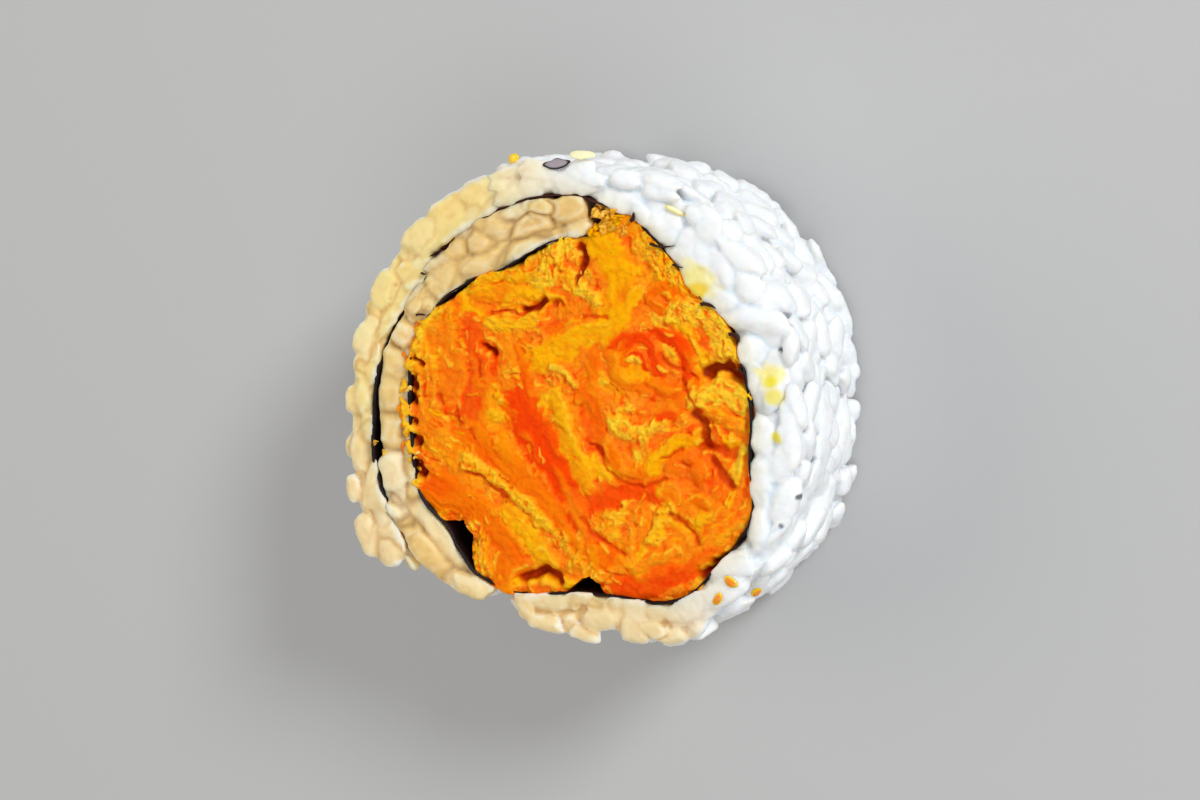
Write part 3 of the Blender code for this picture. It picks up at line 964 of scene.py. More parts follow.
    def edge_grains(self, rng: np.random.Generator) -> tuple[Grains, np.ndarray, np.ndarray]:
        """Rows of grains at the cut that close up to the sheet, and to its next turn where that is near.

        Args:
            rng: the strip's random numbers.

        Returns:
            The grains, the winding of each, and its depth under the cut.
        """
        step = math.degrees(self.edge_apart / float(self.rim(np.array([self.middle]))[0]))
        margin, least_gap = 3, 0.3
        winding = np.arange(self.first + margin, self.last - margin, step)
        touching = self.tucked(winding) - self.rim(winding) < least_gap
        beside = winding[(winding + 360 < WINDING.last) & touching]
        inset = rng.uniform(*self.edge_inset, len(winding) + len(beside))
        radius = np.concatenate([WINDING.rice_back(winding), self.rim(beside)])
        radius += inset * np.repeat([1, -1], [len(winding), len(beside)])
        winding = np.concatenate([winding, beside])
        turn = np.radians(winding)
        flat = around_axis(radius, turn)[:, :2]
        keep = self.clear_of_placed(flat, -least_gap)
        winding, flat = winding[keep], flat[keep]
        count = len(winding)
        _, along, out = self.surface(winding)
        drop = self.rest_drop / 2 + rng.uniform(0, self.cut_step, count)
        middle = with_height(flat[:, 0], flat[:, 1], LENGTH - drop - self.edge_sunk)
        way = along + out * rng.normal(0, 0.3, (count, 1))
        up = nearly_up(rng, count, 0.25)
        size = rng.uniform(*self.edge_size, (count, 3))
        return Grains(middle, way, up, size, self.seed + 3), winding, drop

    def placed_grains(self, rng: np.random.Generator) -> tuple[Grains, np.ndarray, np.ndarray]:
        """The grains whose places the cut face shows.

        Args:
            rng: the strip's random numbers.

        Returns:
            The grains, the winding of each, and its depth under the cut.
        """
        rows = np.array([(g.x, g.y, g.length, g.width, g.turn, g.drop) for g in self.placed])
        x, y, length, width, turn, drop = rows.T
        thick = np.minimum(width, self.thickest_placed)
        middle = with_height(x, y, LENGTH - drop - 0.38 * thick)
        way = with_height(np.cos(np.radians(turn)), np.sin(np.radians(turn)))
        way[:, 2] = rng.normal(0, 0.06, len(x))
        up = nearly_up(rng, len(x), 0.08)
        winding = WINDING.around(x, y, self.middle)
        size = np.stack([length, width, thick], axis=1)
        return Grains(middle, way, up, size, self.seed + 2), winding, drop

    def press(
        self, points: np.ndarray, winding: np.ndarray, drop: np.ndarray, rng: np.random.Generator
    ) -> np.ndarray:
        """Presses grains against the mat, the sheet and the knife.

        What stands beyond the outer face or the cut is softened by a tanh, which leaves flattened domes. The
        corner between them is rounded to a circle of each grain's own radius. Towards the cut, a grain may
        lap over the sheet's edge, and further between the windings of the bridge; elsewhere it stays
        outside the sheet.

        Args:
            points: grains by points by 3.
            winding: of each grain.
            drop: how far under the cut face each grain's top stays.
            rng: the strip's random numbers.

        Returns:
            The moved points.
        """
        x, y, z = np.moveaxis(points, -1, 0)
        count = (len(points), 1)
        around = WINDING.around(x, y, winding[:, None])
        radius = np.hypot(x, y)
        rim = self.rim(np.clip(around, self.first, self.last))
        over = radius - rim
        over = np.where(over > 0, self.most_proud * np.tanh(over / self.most_proud), over)
        height = z - LENGTH / 2
        ceiling = LENGTH / 2 - drop[:, None] - self.cut_dome
        past = np.abs(height) - ceiling
        domed = ceiling + self.cut_dome * np.tanh(past / self.cut_dome)
        height = np.where(past > 0, np.sign(height) * domed, height)
        corner = rng.uniform(*self.shoulder, count)
        outward = np.clip((over - (self.most_proud * self.corner_share - corner)) / corner, 0, None)
        upward = np.clip((np.abs(height) - (LENGTH / 2 - drop[:, None] - corner)) / corner, 0, None)
        reach = np.maximum(np.hypot(outward, upward), 1)
        both = (outward > 0) & (upward > 0)
        over = np.where(both, over - outward * corner * (1 - 1 / reach), over)
        height = np.where(both, height - np.sign(height) * upward * corner * (1 - 1 / reach), height)
        deep, shallow = self.lap_depth
        near_cut = smoothstep(LENGTH / 2 - deep, LENGTH / 2 - shallow, np.abs(height))
        low, high, amount = self.bridge
        fade = self.bridge_fade
        bridging = amount * near_cut * smoothstep(low - fade, low, around)
        bridging = bridging * smoothstep(high + fade, high, around)
        lap = rng.uniform(*self.overlap, count) * near_cut + self.bridge_lap * bridging
        radius = np.maximum(rim + over, WINDING.rice_back(around) + 0.02 - lap)
        limit = self.tucked(around) + bridging + rng.uniform(*self.next_turn_lap, count) * near_cut
        radius = np.where(around + 360 < WINDING.last, np.minimum(radius, limit), radius)
        turn = np.radians(around)
        return around_axis(radius, turn, height + LENGTH / 2)

    def build(self) -> None:
        """Makes the strip's pieces: core and grains joined, remeshed as one skin, and smoothed."""
        rng = np.random.default_rng(self.seed)
        ball, ball_faces = unit_ball(3)
        clouds, windings, sets = [], [], []
        for grains, winding, drop in (
            self.side_grains(rng, self.apart, self.proud),
            self.side_grains(rng, self.apart_proud, self.proud_upper),
            self.cut_grains(rng),
            self.edge_grains(rng),
            self.placed_grains(rng),
        ):
            clouds.append(self.press(grains.points(ball), winding, drop, rng))
            windings.append(winding)
            sets.append(grains)
        cloud, winding = np.concatenate(clouds), np.concatenate(windings)
        bounds = np.linspace(self.first, self.last, self.arcs + 1)
        for number in range(self.arcs):
            low, high = bounds[number], bounds[number + 1]
            chosen = (winding >= low) & ((winding < high) | (number == self.arcs - 1))
            mine = cloud[chosen]
            core, core_faces = self.core(low, high)
            name = f"{self.name}_{number + 1}" if self.arcs > 1 else self.name
            points = np.concatenate([core, mine.reshape(-1, 3)])
            made = add_mesh(name, points, [core_faces, copies(mine, ball_faces, len(core))])
            skin = made.modifiers.new("skin", "REMESH")
            skin.mode = "VOXEL"
            skin.voxel_size = self.voxel * MM * 1
            soften = made.modifiers.new("soften", "SMOOTH")
            soften.factor = 0.5
            soften.iterations = 3
            apply_modifiers(made)
            owners = Packing(sets, (1.0, 0.9, 1.0, 1.0, 0.7), chosen).owners(mesh_points(made)[0])
            self.roughen(made, owners)
            self.colour(made, owners)
            self.pieces.append(made)

    def roughen(self, made: bpy.types.Object, owners: Owners) -> None:
        """Moves every vertex along its normal by noises, and presses in a seam where two grains meet.

        Args:
            made: the piece.
            owners: of its vertices.
        """
        points, normals = mesh_points(made)
        moved = sum(height * noise(points, size, 70) for height, size in self.roughness)
        side, cut = self.seam_depth
        share = 1 - np.clip(owners.inside / self.seam_reach, 0, 1)
        flat = smoothstep(0.4, 0.8, normals[:, 2])
        moved = moved - (side + (cut * owners.clear - side) * flat) * share**2
        inside = np.clip(np.minimum(points[:, 2], LENGTH - points[:, 2]) / 0.3, 0, 1)
        step = normals * moved[:, None]
        step[:, 2] *= np.where(moved < 0, 1, inside)
        points = points + step
        points[:, 2] = np.clip(points[:, 2], 0, LENGTH)
        made.data.vertices.foreach_set("co", SHIFT.to_frame(points).ravel())
        made.data.update()

    def colour(self, made: bpy.types.Object, owners: Owners) -> None:
        """Paints the rice by place; each strip has its own way."""
        points, _ = mesh_points(made)
        paint(made, np.tile(Rgb.RICE_WHITE.linear(), (len(points), 1)))

    def own_tone(self, owners: Owners) -> np.ndarray:
        """A number from 0 to 1 for every grain, given to each point that it owns."""
        key = np.stack([owners.grain, owners.grain * 0 + self.seed, owners.grain * 0], axis=-1)
        return lattice(key, 77)

    def dress(self, material: bpy.types.Material) -> None:
        """Gives every piece its material and hides the solid that they stand for."""
        for made in self.pieces:
            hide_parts(self.node)
            dress(made, material)


INNER_GRAINS = tuple(PlacedGrain(*row) for row in (
    (-0.3, 19.9, 3.9, 3.6, 0.0, 0.0),
    (0.6, 17.9, 3.6, 3.0, 10.0, 0.1),
    (-10.4, 16.2, 3.1, 2.9, 0.0, 0.0),
    (-8.2, 18.3, 4.4, 2.3, 35.0, 0.05),
    (-12.8, 15.8, 3.0, 2.2, 40.0, 0.25),
    (-10.6, 14.2, 5.6, 2.3, 28.0, 0.1),
    (-5.3, 15.7, 6.2, 2.2, 32.0, 0.2),
    (-4.4, 18.4, 4.5, 3.0, 10.0, 0.35),
    (-14.6, 12.6, 4.6, 2.8, 50.0, 0.35),
    (-19.3, 6.4, 3.4, 2.4, 55.0, 0.1),
    (-20.6, 3.4, 4.0, 3.2, 95.0, 0.35),
    (-20.7, -0.3, 4.4, 3.0, 92.0, 0.1),
    (-20.7, -3.8, 4.6, 3.1, 85.0, 0.3),
    (-20.7, -8.5, 4.8, 3.4, 100.0, 0.0),
    (-20.6, -12.7, 2.8, 1.8, -35.0, 0.1),
    (-15.4, -14.8, 8.8, 2.1, -50.0, 0.3),
    (-16.6, -16.8, 6.6, 3.1, -40.0, 0.0),
    (-12.1, -20.1, 5.4, 2.7, -25.0, 0.05),
    (-20.2, -18.0, 4.6, 3.0, -20.0, 0.6),
))

OUTER_GRAINS = tuple(PlacedGrain(*row) for row in (
    (-24.4, -0.8, 5.0, 2.6, 88.0, 0.1),
    (-25.4, -1.0, 4.0, 2.4, 84.0, 0.3),
    (-24.6, -7.0, 5.4, 2.4, 92.0, 0.3),
    (-25.6, -10.6, 3.6, 2.2, 100.0, 0.1),
    (-23.9, -15.6, 5.2, 3.4, -62.0, 0.0),
    (-21.4, -17.0, 4.0, 3.0, -52.0, 0.1),
    (-2.8, -20.8, 7.4, 2.4, -4.0, 0.2),
    (3.0, -22.2, 4.4, 3.2, 20.0, 0.0),
    (-0.3, -23.0, 2.6, 1.8, 80.0, 0.5),
    (11.3, -24.0, 4.0, 2.8, 60.0, 0.3),
    (4.8, 20.9, 5.4, 2.9, 0.0, 0.35),
    (5.8, 23.2, 3.7, 2.2, -5.0, 0.0),
    (9.7, 18.5, 5.2, 3.4, -35.0, 0.25),
    (16.1, 14.4, 5.0, 2.3, -60.0, 0.1),
    (18.9, 12.6, 3.9, 3.0, -45.0, 0.0),
    (19.3, 9.5, 7.6, 3.0, -8.0, 0.05),
    (18.7, 6.0, 4.4, 2.6, 80.0, 0.1),
    (21.6, 2.6, 5.0, 3.2, 76.0, 0.15),
    (20.2, -2.2, 4.6, 2.8, 90.0, 0.25),
    (20.4, -6.4, 4.8, 2.6, 95.0, 0.1),
    (22.8, -8.6, 5.4, 3.0, 70.0, 0.2),
    (19.8, -11.4, 4.8, 2.8, 80.0, 0.05),
    (16.6, -18.2, 5.6, 3.2, 35.0, 0.2),
    (-10.6, 21.4, 5.5, 3.4, 30.0, 0.15),
    (-17.4, 16.8, 5.4, 3.2, 45.0, 0.1),
    (-21.4, 11.4, 5.4, 3.0, 62.0, 0.15),
    (-23.8, 5.6, 5.0, 3.0, 75.0, 0.1),
))


@dataclass(frozen=True)
class Stain:
    """A spot of colour on the rice: its place on the cut face, reach, strength and colour."""

    x: float
    y: float
    reach: float
    strength: float
    colour: Rgb


@dataclass
class OuterRice(RiceStrip):
    """The strip that shows round the whole slice, white on its side and cream at the left of its cut, partly
    as painted warm light.
    """

    stains: tuple[Stain, ...] = (
        Stain(13.2, 12.9, 2.7, 0.7, Rgb.STAIN_YELLOW),
        Stain(13.6, 12.0, 1.3, 0.9, Rgb.FISH_BRIGHT),
        Stain(21.2, 3.8, 1.7, 0.8, Rgb.STAIN_YELLOW),
        Stain(21.4, 3.4, 0.9, 0.9, Rgb.STAIN_GREEN),
        Stain(21.7, 1.9, 1.4, 0.9, Rgb.STAIN_YELLOW),
        Stain(22.0, -2.1, 0.8, 0.9, Rgb.STAIN_GREEN),
        Stain(22.2, 6.6, 0.35, 1.0, Rgb.STAIN_DARK),
        Stain(24.3, -8.1, 0.35, 0.9, Rgb.STAIN_DARK),
        Stain(22.6, -11.1, 0.3, 0.8, Rgb.STAIN_DARK),
    )

    def colour(self, made: bpy.types.Object, owners: Owners) -> None:
        """Cream, partly painted warm light, where the cut face lies to the left; greyer below, white
        elsewhere, with stains.

        Every grain has a lightness of its own. Seams and creases are darker, warm on the cream and bluish on
        the white, the creases' dark being painted shade; crests get a painted highlight, as does the cut's
        edge by the sheet.

        Args:
            made: the piece.
            owners: of its vertices.
        """
        points, normals = mesh_points(made)
        x, y, z = points.T
        radius = np.hypot(x, y)
        around = WINDING.around(x, y, self.middle)
        within = self.rim(np.clip(around, self.first, self.last)) - radius
        facing = np.maximum(smoothstep(0.35, 0.8, normals[:, 2]), smoothstep(0.3, 1.0, within))
        cut = facing * smoothstep(LENGTH - 3.0, LENGTH - 1.2, z)
        # cream on the left of the cut face: partly the rice's own tint, partly painted warm light
        left = smoothstep(9.0, -5.0, x + np.where(y > 0, 0.3, 0.6) * y + 1.6 * noise(points, 4.0, 12))
        low = smoothstep(7.0, -12.0, y)
        cream = blend(Rgb.RICE_CREAM_AND_WARM_LIGHT.linear(), Rgb.RICE_GREY.linear(), 0.95 * low)
        tone = blend(Rgb.RICE_WHITE.linear(), cream, left * (0.18 + 0.8 * cut))
        inner = smoothstep(2.4, 0.4, radius - WINDING.sheet(around))
        tone = Rgb.RICE_BEIGE.over(tone, 0.7 * inner * cut * (1 - left))
        own = self.own_tone(owners)
        tone = Rgb.RICE_PALE_AND_HIGHLIGHT.over(tone, 0.22 * smoothstep(0.6, 1.0, own) * left * cut)
        tone = Rgb.RICE_AMBER.over(tone, 0.10 * smoothstep(0.4, 0.0, own) * left * cut)
        tone = Rgb.RICE_SHADE.over(tone, 0.05 * smoothstep(0.5, 0.0, own) * (1 - left * cut))
        specks = smoothstep(-0.1, 0.8, 0.6 * noise(points, 0.5, 14) + 0.7 * noise(points, 1.7, 13))
        tone = Rgb.RICE_AMBER.over(tone, 0.15 * specks * left * cut)
        tone = Rgb.RICE_SHADE.over(tone, 0.05 * specks * (1 - left))
        # painted shade in creases, bluish on the white and amber on the cream, with darker seams between
        # grains
        crest = standing_out(made, 8)
        line = owners.clear * smoothstep(0.18, 0.0, owners.inside) * cut
        crease = np.maximum(smoothstep(-0.02, -0.16, crest), line)
        dark = blend(Rgb.RICE_SHADE.linear(), Rgb.RICE_AMBER.linear(), left * cut)
        tone = blend(tone, dark, crease * (0.06 + cut * (0.24 + 0.26 * left)))
        # painted highlight on crests
        tone = Rgb.RICE_PALE_AND_HIGHLIGHT.over(tone, 0.6 * smoothstep(0.06, 0.18, crest))
        # painted highlight along the cut's edge by the sheet
        edge = smoothstep(0.5, 0.15, radius - WINDING.rice_back(around))
        edge = edge * smoothstep(LENGTH - 1.0, LENGTH - 0.5, z)
        tone = Rgb.RICE_PALE_AND_HIGHLIGHT.over(tone, 0.5 * edge * smoothstep(-0.4, 0.4, noise(points, 2.2, 19)))
        for stain in self.stains:
            far = np.hypot(x - stain.x, y - stain.y) * (1 + 0.35 * noise(points, 0.9, 3))
            strength = stain.strength * smoothstep(stain.reach, 0.45 * stain.reach, far)
            strength = strength * smoothstep(LENGTH - 4.0, LENGTH - 2.0, z)
            tone = stain.colour.over(tone, strength)
        paint(made, tone)


@dataclass
class InnerRice(RiceStrip):
    """The strip on the tucked end of the sheet, beige with warm seams."""

    def colour(self, made: bpy.types.Object, owners: Owners) -> None:
        """Beige, each grain paler or darker, with warm seams, painted crease shade, and painted highlights
        beside seams and on crests.

        Args:
            made: the piece.
            owners: of its vertices.
        """
        points, normals = mesh_points(made)
        patch = 0.5 + 0.5 * noise(points, 1.8, 9)
        own = self.own_tone(owners)
        cut = smoothstep(0.35, 0.8, normals[:, 2]) * smoothstep(LENGTH - 3.0, LENGTH - 1.2, points[:, 2])
        tone = blend(Rgb.RICE_AMBER.linear(), Rgb.RICE_TUCKED.linear(), 0.5 + 0.2 * patch + 0.3 * own)
        specks = smoothstep(-0.1, 0.8, noise(points, 0.5, 15) + 0.4 * noise(points, 1.3, 16))
        tone = Rgb.RICE_AMBER.over(tone, 0.3 * specks)
        tone = Rgb.RICE_PALE_AND_HIGHLIGHT.over(tone, 0.35 * smoothstep(0.6, 1.0, own) * cut)
        crest = standing_out(made, 8)
        # painted shade in creases
        tone = Rgb.RICE_SEAM_AND_CREASE_SHADE.over(tone, 0.35 * smoothstep(-0.06, -0.22, crest))
        line = owners.clear * smoothstep(0.2, 0.0, owners.inside) * cut
        tone = Rgb.RICE_SEAM_AND_CREASE_SHADE.over(tone, 0.6 * line)
        # painted highlight beside the seams
        beside = smoothstep(0.2, 0.3, owners.inside) * smoothstep(0.55, 0.35, owners.inside)
        tone = Rgb.RICE_PALE_AND_HIGHLIGHT.over(tone, 0.3 * beside * cut * owners.clear)
        # painted highlight on crests
        tone = Rgb.RICE_PALE_AND_HIGHLIGHT.over(tone, 0.35 * smoothstep(0.06, 0.18, crest))
        # painted highlight along the cut's edge by the sheet
        around = WINDING.around(points[:, 0], points[:, 1], self.middle)
        near_sheet = np.hypot(points[:, 0], points[:, 1]) - WINDING.rice_back(around)
        edge = smoothstep(0.5, 0.15, near_sheet) * smoothstep(LENGTH - 1.0, LENGTH - 0.5, points[:, 2])
        tone = Rgb.RICE_PALE_AND_HIGHLIGHT.over(tone, 0.5 * edge * smoothstep(-0.4, 0.4, noise(points, 2.2, 19)))
        high = smoothstep(LENGTH - 3.5, LENGTH - 1.5, points[:, 2])
        paint(made, blend(Rgb.RICE_WHITE.linear(), tone, 0.2 + 0.8 * high))


@dataclass(frozen=True)
class Shred:
    """A torn flap of nori that reaches from the sheet into the rice: three points and a half width."""

    start: Point
    bend: Point
    end: Point
    half_width: float


SHREDS = tuple(Shred(row[:2], row[2:4], row[4:6], *row[6:]) for row in (
    (8.6, 16.8, 9.8, 16.3, 11.2, 16.7, 0.20),
    (6.5, 19.0, 6.9, 19.3, 6.8, 19.9, 0.28),
    (11.0, 14.8, 11.5, 14.5, 12.1, 14.5, 0.12),
    (14.0, 10.9, 14.9, 11.1, 15.6, 10.5, 0.28),
    (17.0, 8.0, 17.9, 8.2, 18.0, 7.2, 0.28),
    (18.1, 4.6, 18.4, 4.3, 18.6, 4.0, 0.13),
    (17.6, -13.8, 18.3, -13.5, 18.8, -12.8, 0.20),
    (-14.6, 15.5, -15.3, 15.2, -15.9, 14.8, 0.12),
    (-16.9, 13.1, -16.7, 12.9, -16.4, 12.9, 0.12),
    (-17.5, 8.6, -17.1, 8.8, -16.6, 8.6, 0.18),
))


@dataclass
class Nori:
    """The sheet: a thin wavy ribbon wound round the filling, standing on edge, with torn flaps."""

    foot: float = 0.4
    top: float = LENGTH - 0.5
    thickness: float = 0.18
    waviness: float = 0.14
    spacing: float = 0.25
    rows: int = 24
    brown_turn: tuple[float, float] = (438.0, 498.0)
    buried: tuple[tuple[float, float], ...] = ((486.0, 529.0), (380.0, 392.0), (408.0, 414.0))
    buried_depth: float = 0.8
    buried_fade: float = 4.0
    brown_fade: float = 6.0
    brown_shreds: float = 0.3
    shred_depth: float = 1.2
    held_back: float = 4.0
    pieces: list[bpy.types.Object] = field(default_factory=list)

    def ribbon(self) -> None:
        """Makes the ribbon: an upright grid offset to either side, closed over its edges.

        The middle of the sheet is moved in and out by noise that grows towards the upper edge. The edge's
        height is torn unevenly, and lies lower where rice has closed over it.
        """
        last = WINDING.last - self.held_back
        angle = np.linspace(WINDING.first, last, int((last - WINDING.first) / self.spacing / 1.4))
        up = np.linspace(0, 1, self.rows)
        turn = np.radians(angle)
        radius = WINDING.sheet(angle)
        along = around_axis(radius, turn)
        torn = 0.4 * noise(along + [0, 0, 5], 2.4, 21) + 0.08 * noise(along, 0.4, 22)
        for low, high in self.buried:
            share = smoothstep(low - self.buried_fade, low, angle)
            share = share * smoothstep(high + self.buried_fade, high, angle)
            torn = torn - self.buried_depth * share
        height = self.foot + (self.top + torn - self.foot)[:, None] * up[None]
        upright = np.repeat(along[:, None, :2], self.rows, axis=1)
        place = np.concatenate([upright, height[..., None]], axis=-1)
        sway = self.waviness * (0.4 + 0.6 * up) * noise(place, 2.6, 23) + 0.06 * noise(place, 0.8, 24)
        sides = []
        for side in (-1, 1):
            far = radius[:, None] + sway + side * self.thickness / 2
            sides.append(around_axis(far, turn[:, None], height))
        points = np.concatenate([sides[0], sides[1][:, ::-1]], axis=1)
        around = 2 * self.rows
        faces = grid_faces(len(angle), around, closed=True)
        number = np.arange(self.rows)
        cap = np.stack([number[:-1], number[1:], around - 2 - number[:-1], around - 1 - number[:-1]], axis=1)
        caps = np.concatenate([cap, cap[:, ::-1] + around * (len(angle) - 1)])
        made = add_mesh("nori_sheet", points, [np.concatenate([faces, caps])])
        point_outwards(made)
        place, _ = mesh_points(made)
        low, high = self.brown_turn
        winding = WINDING.around(place[:, 0], place[:, 1], (low + high) / 2)
        near_sheet = np.abs(np.hypot(place[:, 0], place[:, 1]) - WINDING.sheet(winding)) < 1.0
        # top edge in the given turns: partly sauce, partly painted light on the lit, see-through edge
        edge = smoothstep(LENGTH - 1.6, LENGTH - 0.5, place[:, 2]) * (0.6 + 0.4 * noise(place, 1.5, 25))
        fade = self.brown_fade
        brown = edge * near_sheet * smoothstep(low, low + fade, winding)
        brown = brown * smoothstep(high, high - fade, winding)
        paint(made, blend(Rgb.NORI_DARK.linear(), Rgb.NORI_SAUCE_AND_LIT_EDGE.linear(), brown))
        self.pieces.append(made)

    def shreds(self) -> None:
        """Makes the flaps: blades along quadratic curves, thinned to nothing at the tip, joined in one mesh.

        A blade's section is a diamond: its two sides lie the half width from its line, its top at the cut.
        """
        share = np.linspace(0, 1, 9)
        ring = np.array([[1, -0.1], [0.55, 0.02], [-0.55, 0.02], [-1, -0.1], [0, -1.0]])
        points, faces = [], []
        tube = grid_faces(len(share), len(ring), closed=True)
        ends = np.array([[0, 1, 2], [0, 2, 3], [0, 3, 4]])
        last = (len(share) - 1) * len(ring)
        tube = np.concatenate([tube[:, [0, 1, 2]], tube[:, [0, 2, 3]], ends[:, ::-1], ends + last])
        for shred in SHREDS:
            line = quadratic(shred.start, shred.bend, shred.end, share)
            step = np.gradient(line, axis=0)
            step /= np.linalg.norm(step, axis=1, keepdims=True)
            side = np.stack([-step[:, 1], step[:, 0]], axis=1)
            width = 0.65 * shred.half_width * np.sqrt(np.clip(1 - share**2, 0.02, 1))
            spread = ring[None, :, 0] * width[:, None]
            flat = line[:, None] + spread[..., None] * side[:, None]
            depth = np.where(ring[None, :, 1] < -0.5, self.shred_depth, 0.3) * ring[None, :, 1]
            z = np.broadcast_to(LENGTH - 0.04 + depth, spread.shape)
            faces.append(tube + len(points) * len(share) * len(ring))
            points.append(with_height(flat[..., 0], flat[..., 1], z).reshape(-1, 3))
        made = add_mesh("nori_shreds", np.concatenate(points), [np.concatenate(faces)])
        point_outwards(made)
        # the flaps tinted like the sheet's edge: partly sauce, partly painted light
        brown = blend(Rgb.NORI_DARK.linear(), Rgb.NORI_SAUCE_AND_LIT_EDGE.linear(), np.array(self.brown_shreds))
        paint(made, np.tile(brown, (len(made.data.vertices), 1)))
        self.pieces.append(made)

    def build(self) -> None:
        """Makes the ribbon and its flaps."""
        self.ribbon()
        self.shreds()

    def dress(self, material: bpy.types.Material) -> None:
        """Gives the sheet its material and hides the solid that it stands for."""
        for made in self.pieces:
            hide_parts("nori")
            dress(made, material)


def quadratic(start: Point, bend: Point, end: Point, share: np.ndarray) -> np.ndarray:
    """Points on the quadratic curve that starts at start, heads for bend and stops at end.

    Args:
        start: where it begins.
        bend: its middle control point.
        end: where it ends.
        share: how far along each point is, from 0 to 1.

    Returns:
        The points, n by 2.
    """
    start, bend, end = (np.array(spot) for spot in (start, bend, end))
    t = share[:, None]
    return (1 - t) ** 2 * start + 2 * t * (1 - t) * bend + t**2 * end


class Tone(Enum):
    """How a flake of fish is coloured."""

    DEEP = Rgb.FISH_DEEP
    MID = Rgb.FISH_MID
    YELLOW = Rgb.FISH_YELLOW
    BRIGHT = Rgb.FISH_BRIGHT


@dataclass(frozen=True)
class Curve:
    """A line on the cut face that starts, bends and ends at three points."""

    start: Point
    bend: Point
    end: Point
    half_width: float

    def near(self, x: np.ndarray, y: np.ndarray) -> tuple[np.ndarray, ...]:
        """Which points lie within the line's box, widened by one and a half half widths.

        Args:
            x: of each point.
            y: of each point.

        Returns:
            Their indices, one array for each axis of x.
        """
        spots = np.array([self.start, self.bend, self.end])
        (left, low), (right, high) = spots.min(axis=0), spots.max(axis=0)
        more = 1.5 * self.half_width
        return np.nonzero((x > left - more) & (x < right + more) & (y > low - more) & (y < high + more))

    def measure(
        self, x: np.ndarray, y: np.ndarray, steps: int = 8
    ) -> tuple[np.ndarray, np.ndarray, np.ndarray]:
        """Where points lie beside the line.

        Args:
            x: of each point.
            y: of each point.
            steps: straight pieces that stand for the curve.

        Returns:
            Distance from the line, signed distance across it, and the line's heading there in radians.
        """
        line = quadratic(self.start, self.bend, self.end, np.linspace(0, 1, steps + 1))
        nearest = np.full(x.shape, np.inf)
        across = np.zeros(x.shape)
        heading = np.zeros(x.shape)
        for a, b in zip(line[:-1], line[1:]):
            step = b - a
            share = np.clip(((x - a[0]) * step[0] + (y - a[1]) * step[1]) / (step @ step), 0, 1)
            off_x, off_y = x - a[0] - share * step[0], y - a[1] - share * step[1]
            far = np.hypot(off_x, off_y)
            closer = far < nearest
            nearest = np.where(closer, far, nearest)
            across = np.where(closer, (off_y * step[0] - off_x * step[1]) / np.linalg.norm(step), across)
            heading = np.where(closer, math.atan2(step[1], step[0]), heading)
        return nearest, across, heading


@dataclass(frozen=True)
class Flake(Curve):
    """A flake of fish on the cut face: its line, half width, rise over the base, tone and crumbliness."""

    rise: float
    tone: Tone
    crumb: float = 0.1


@dataclass(frozen=True)
class Crevice(Curve):
    """A gap between flakes, pressed in, whose darkness is painted shade."""

    depth: float


DEEP, MID, YELLOW, BRIGHT = Tone.DEEP, Tone.MID, Tone.YELLOW, Tone.BRIGHT

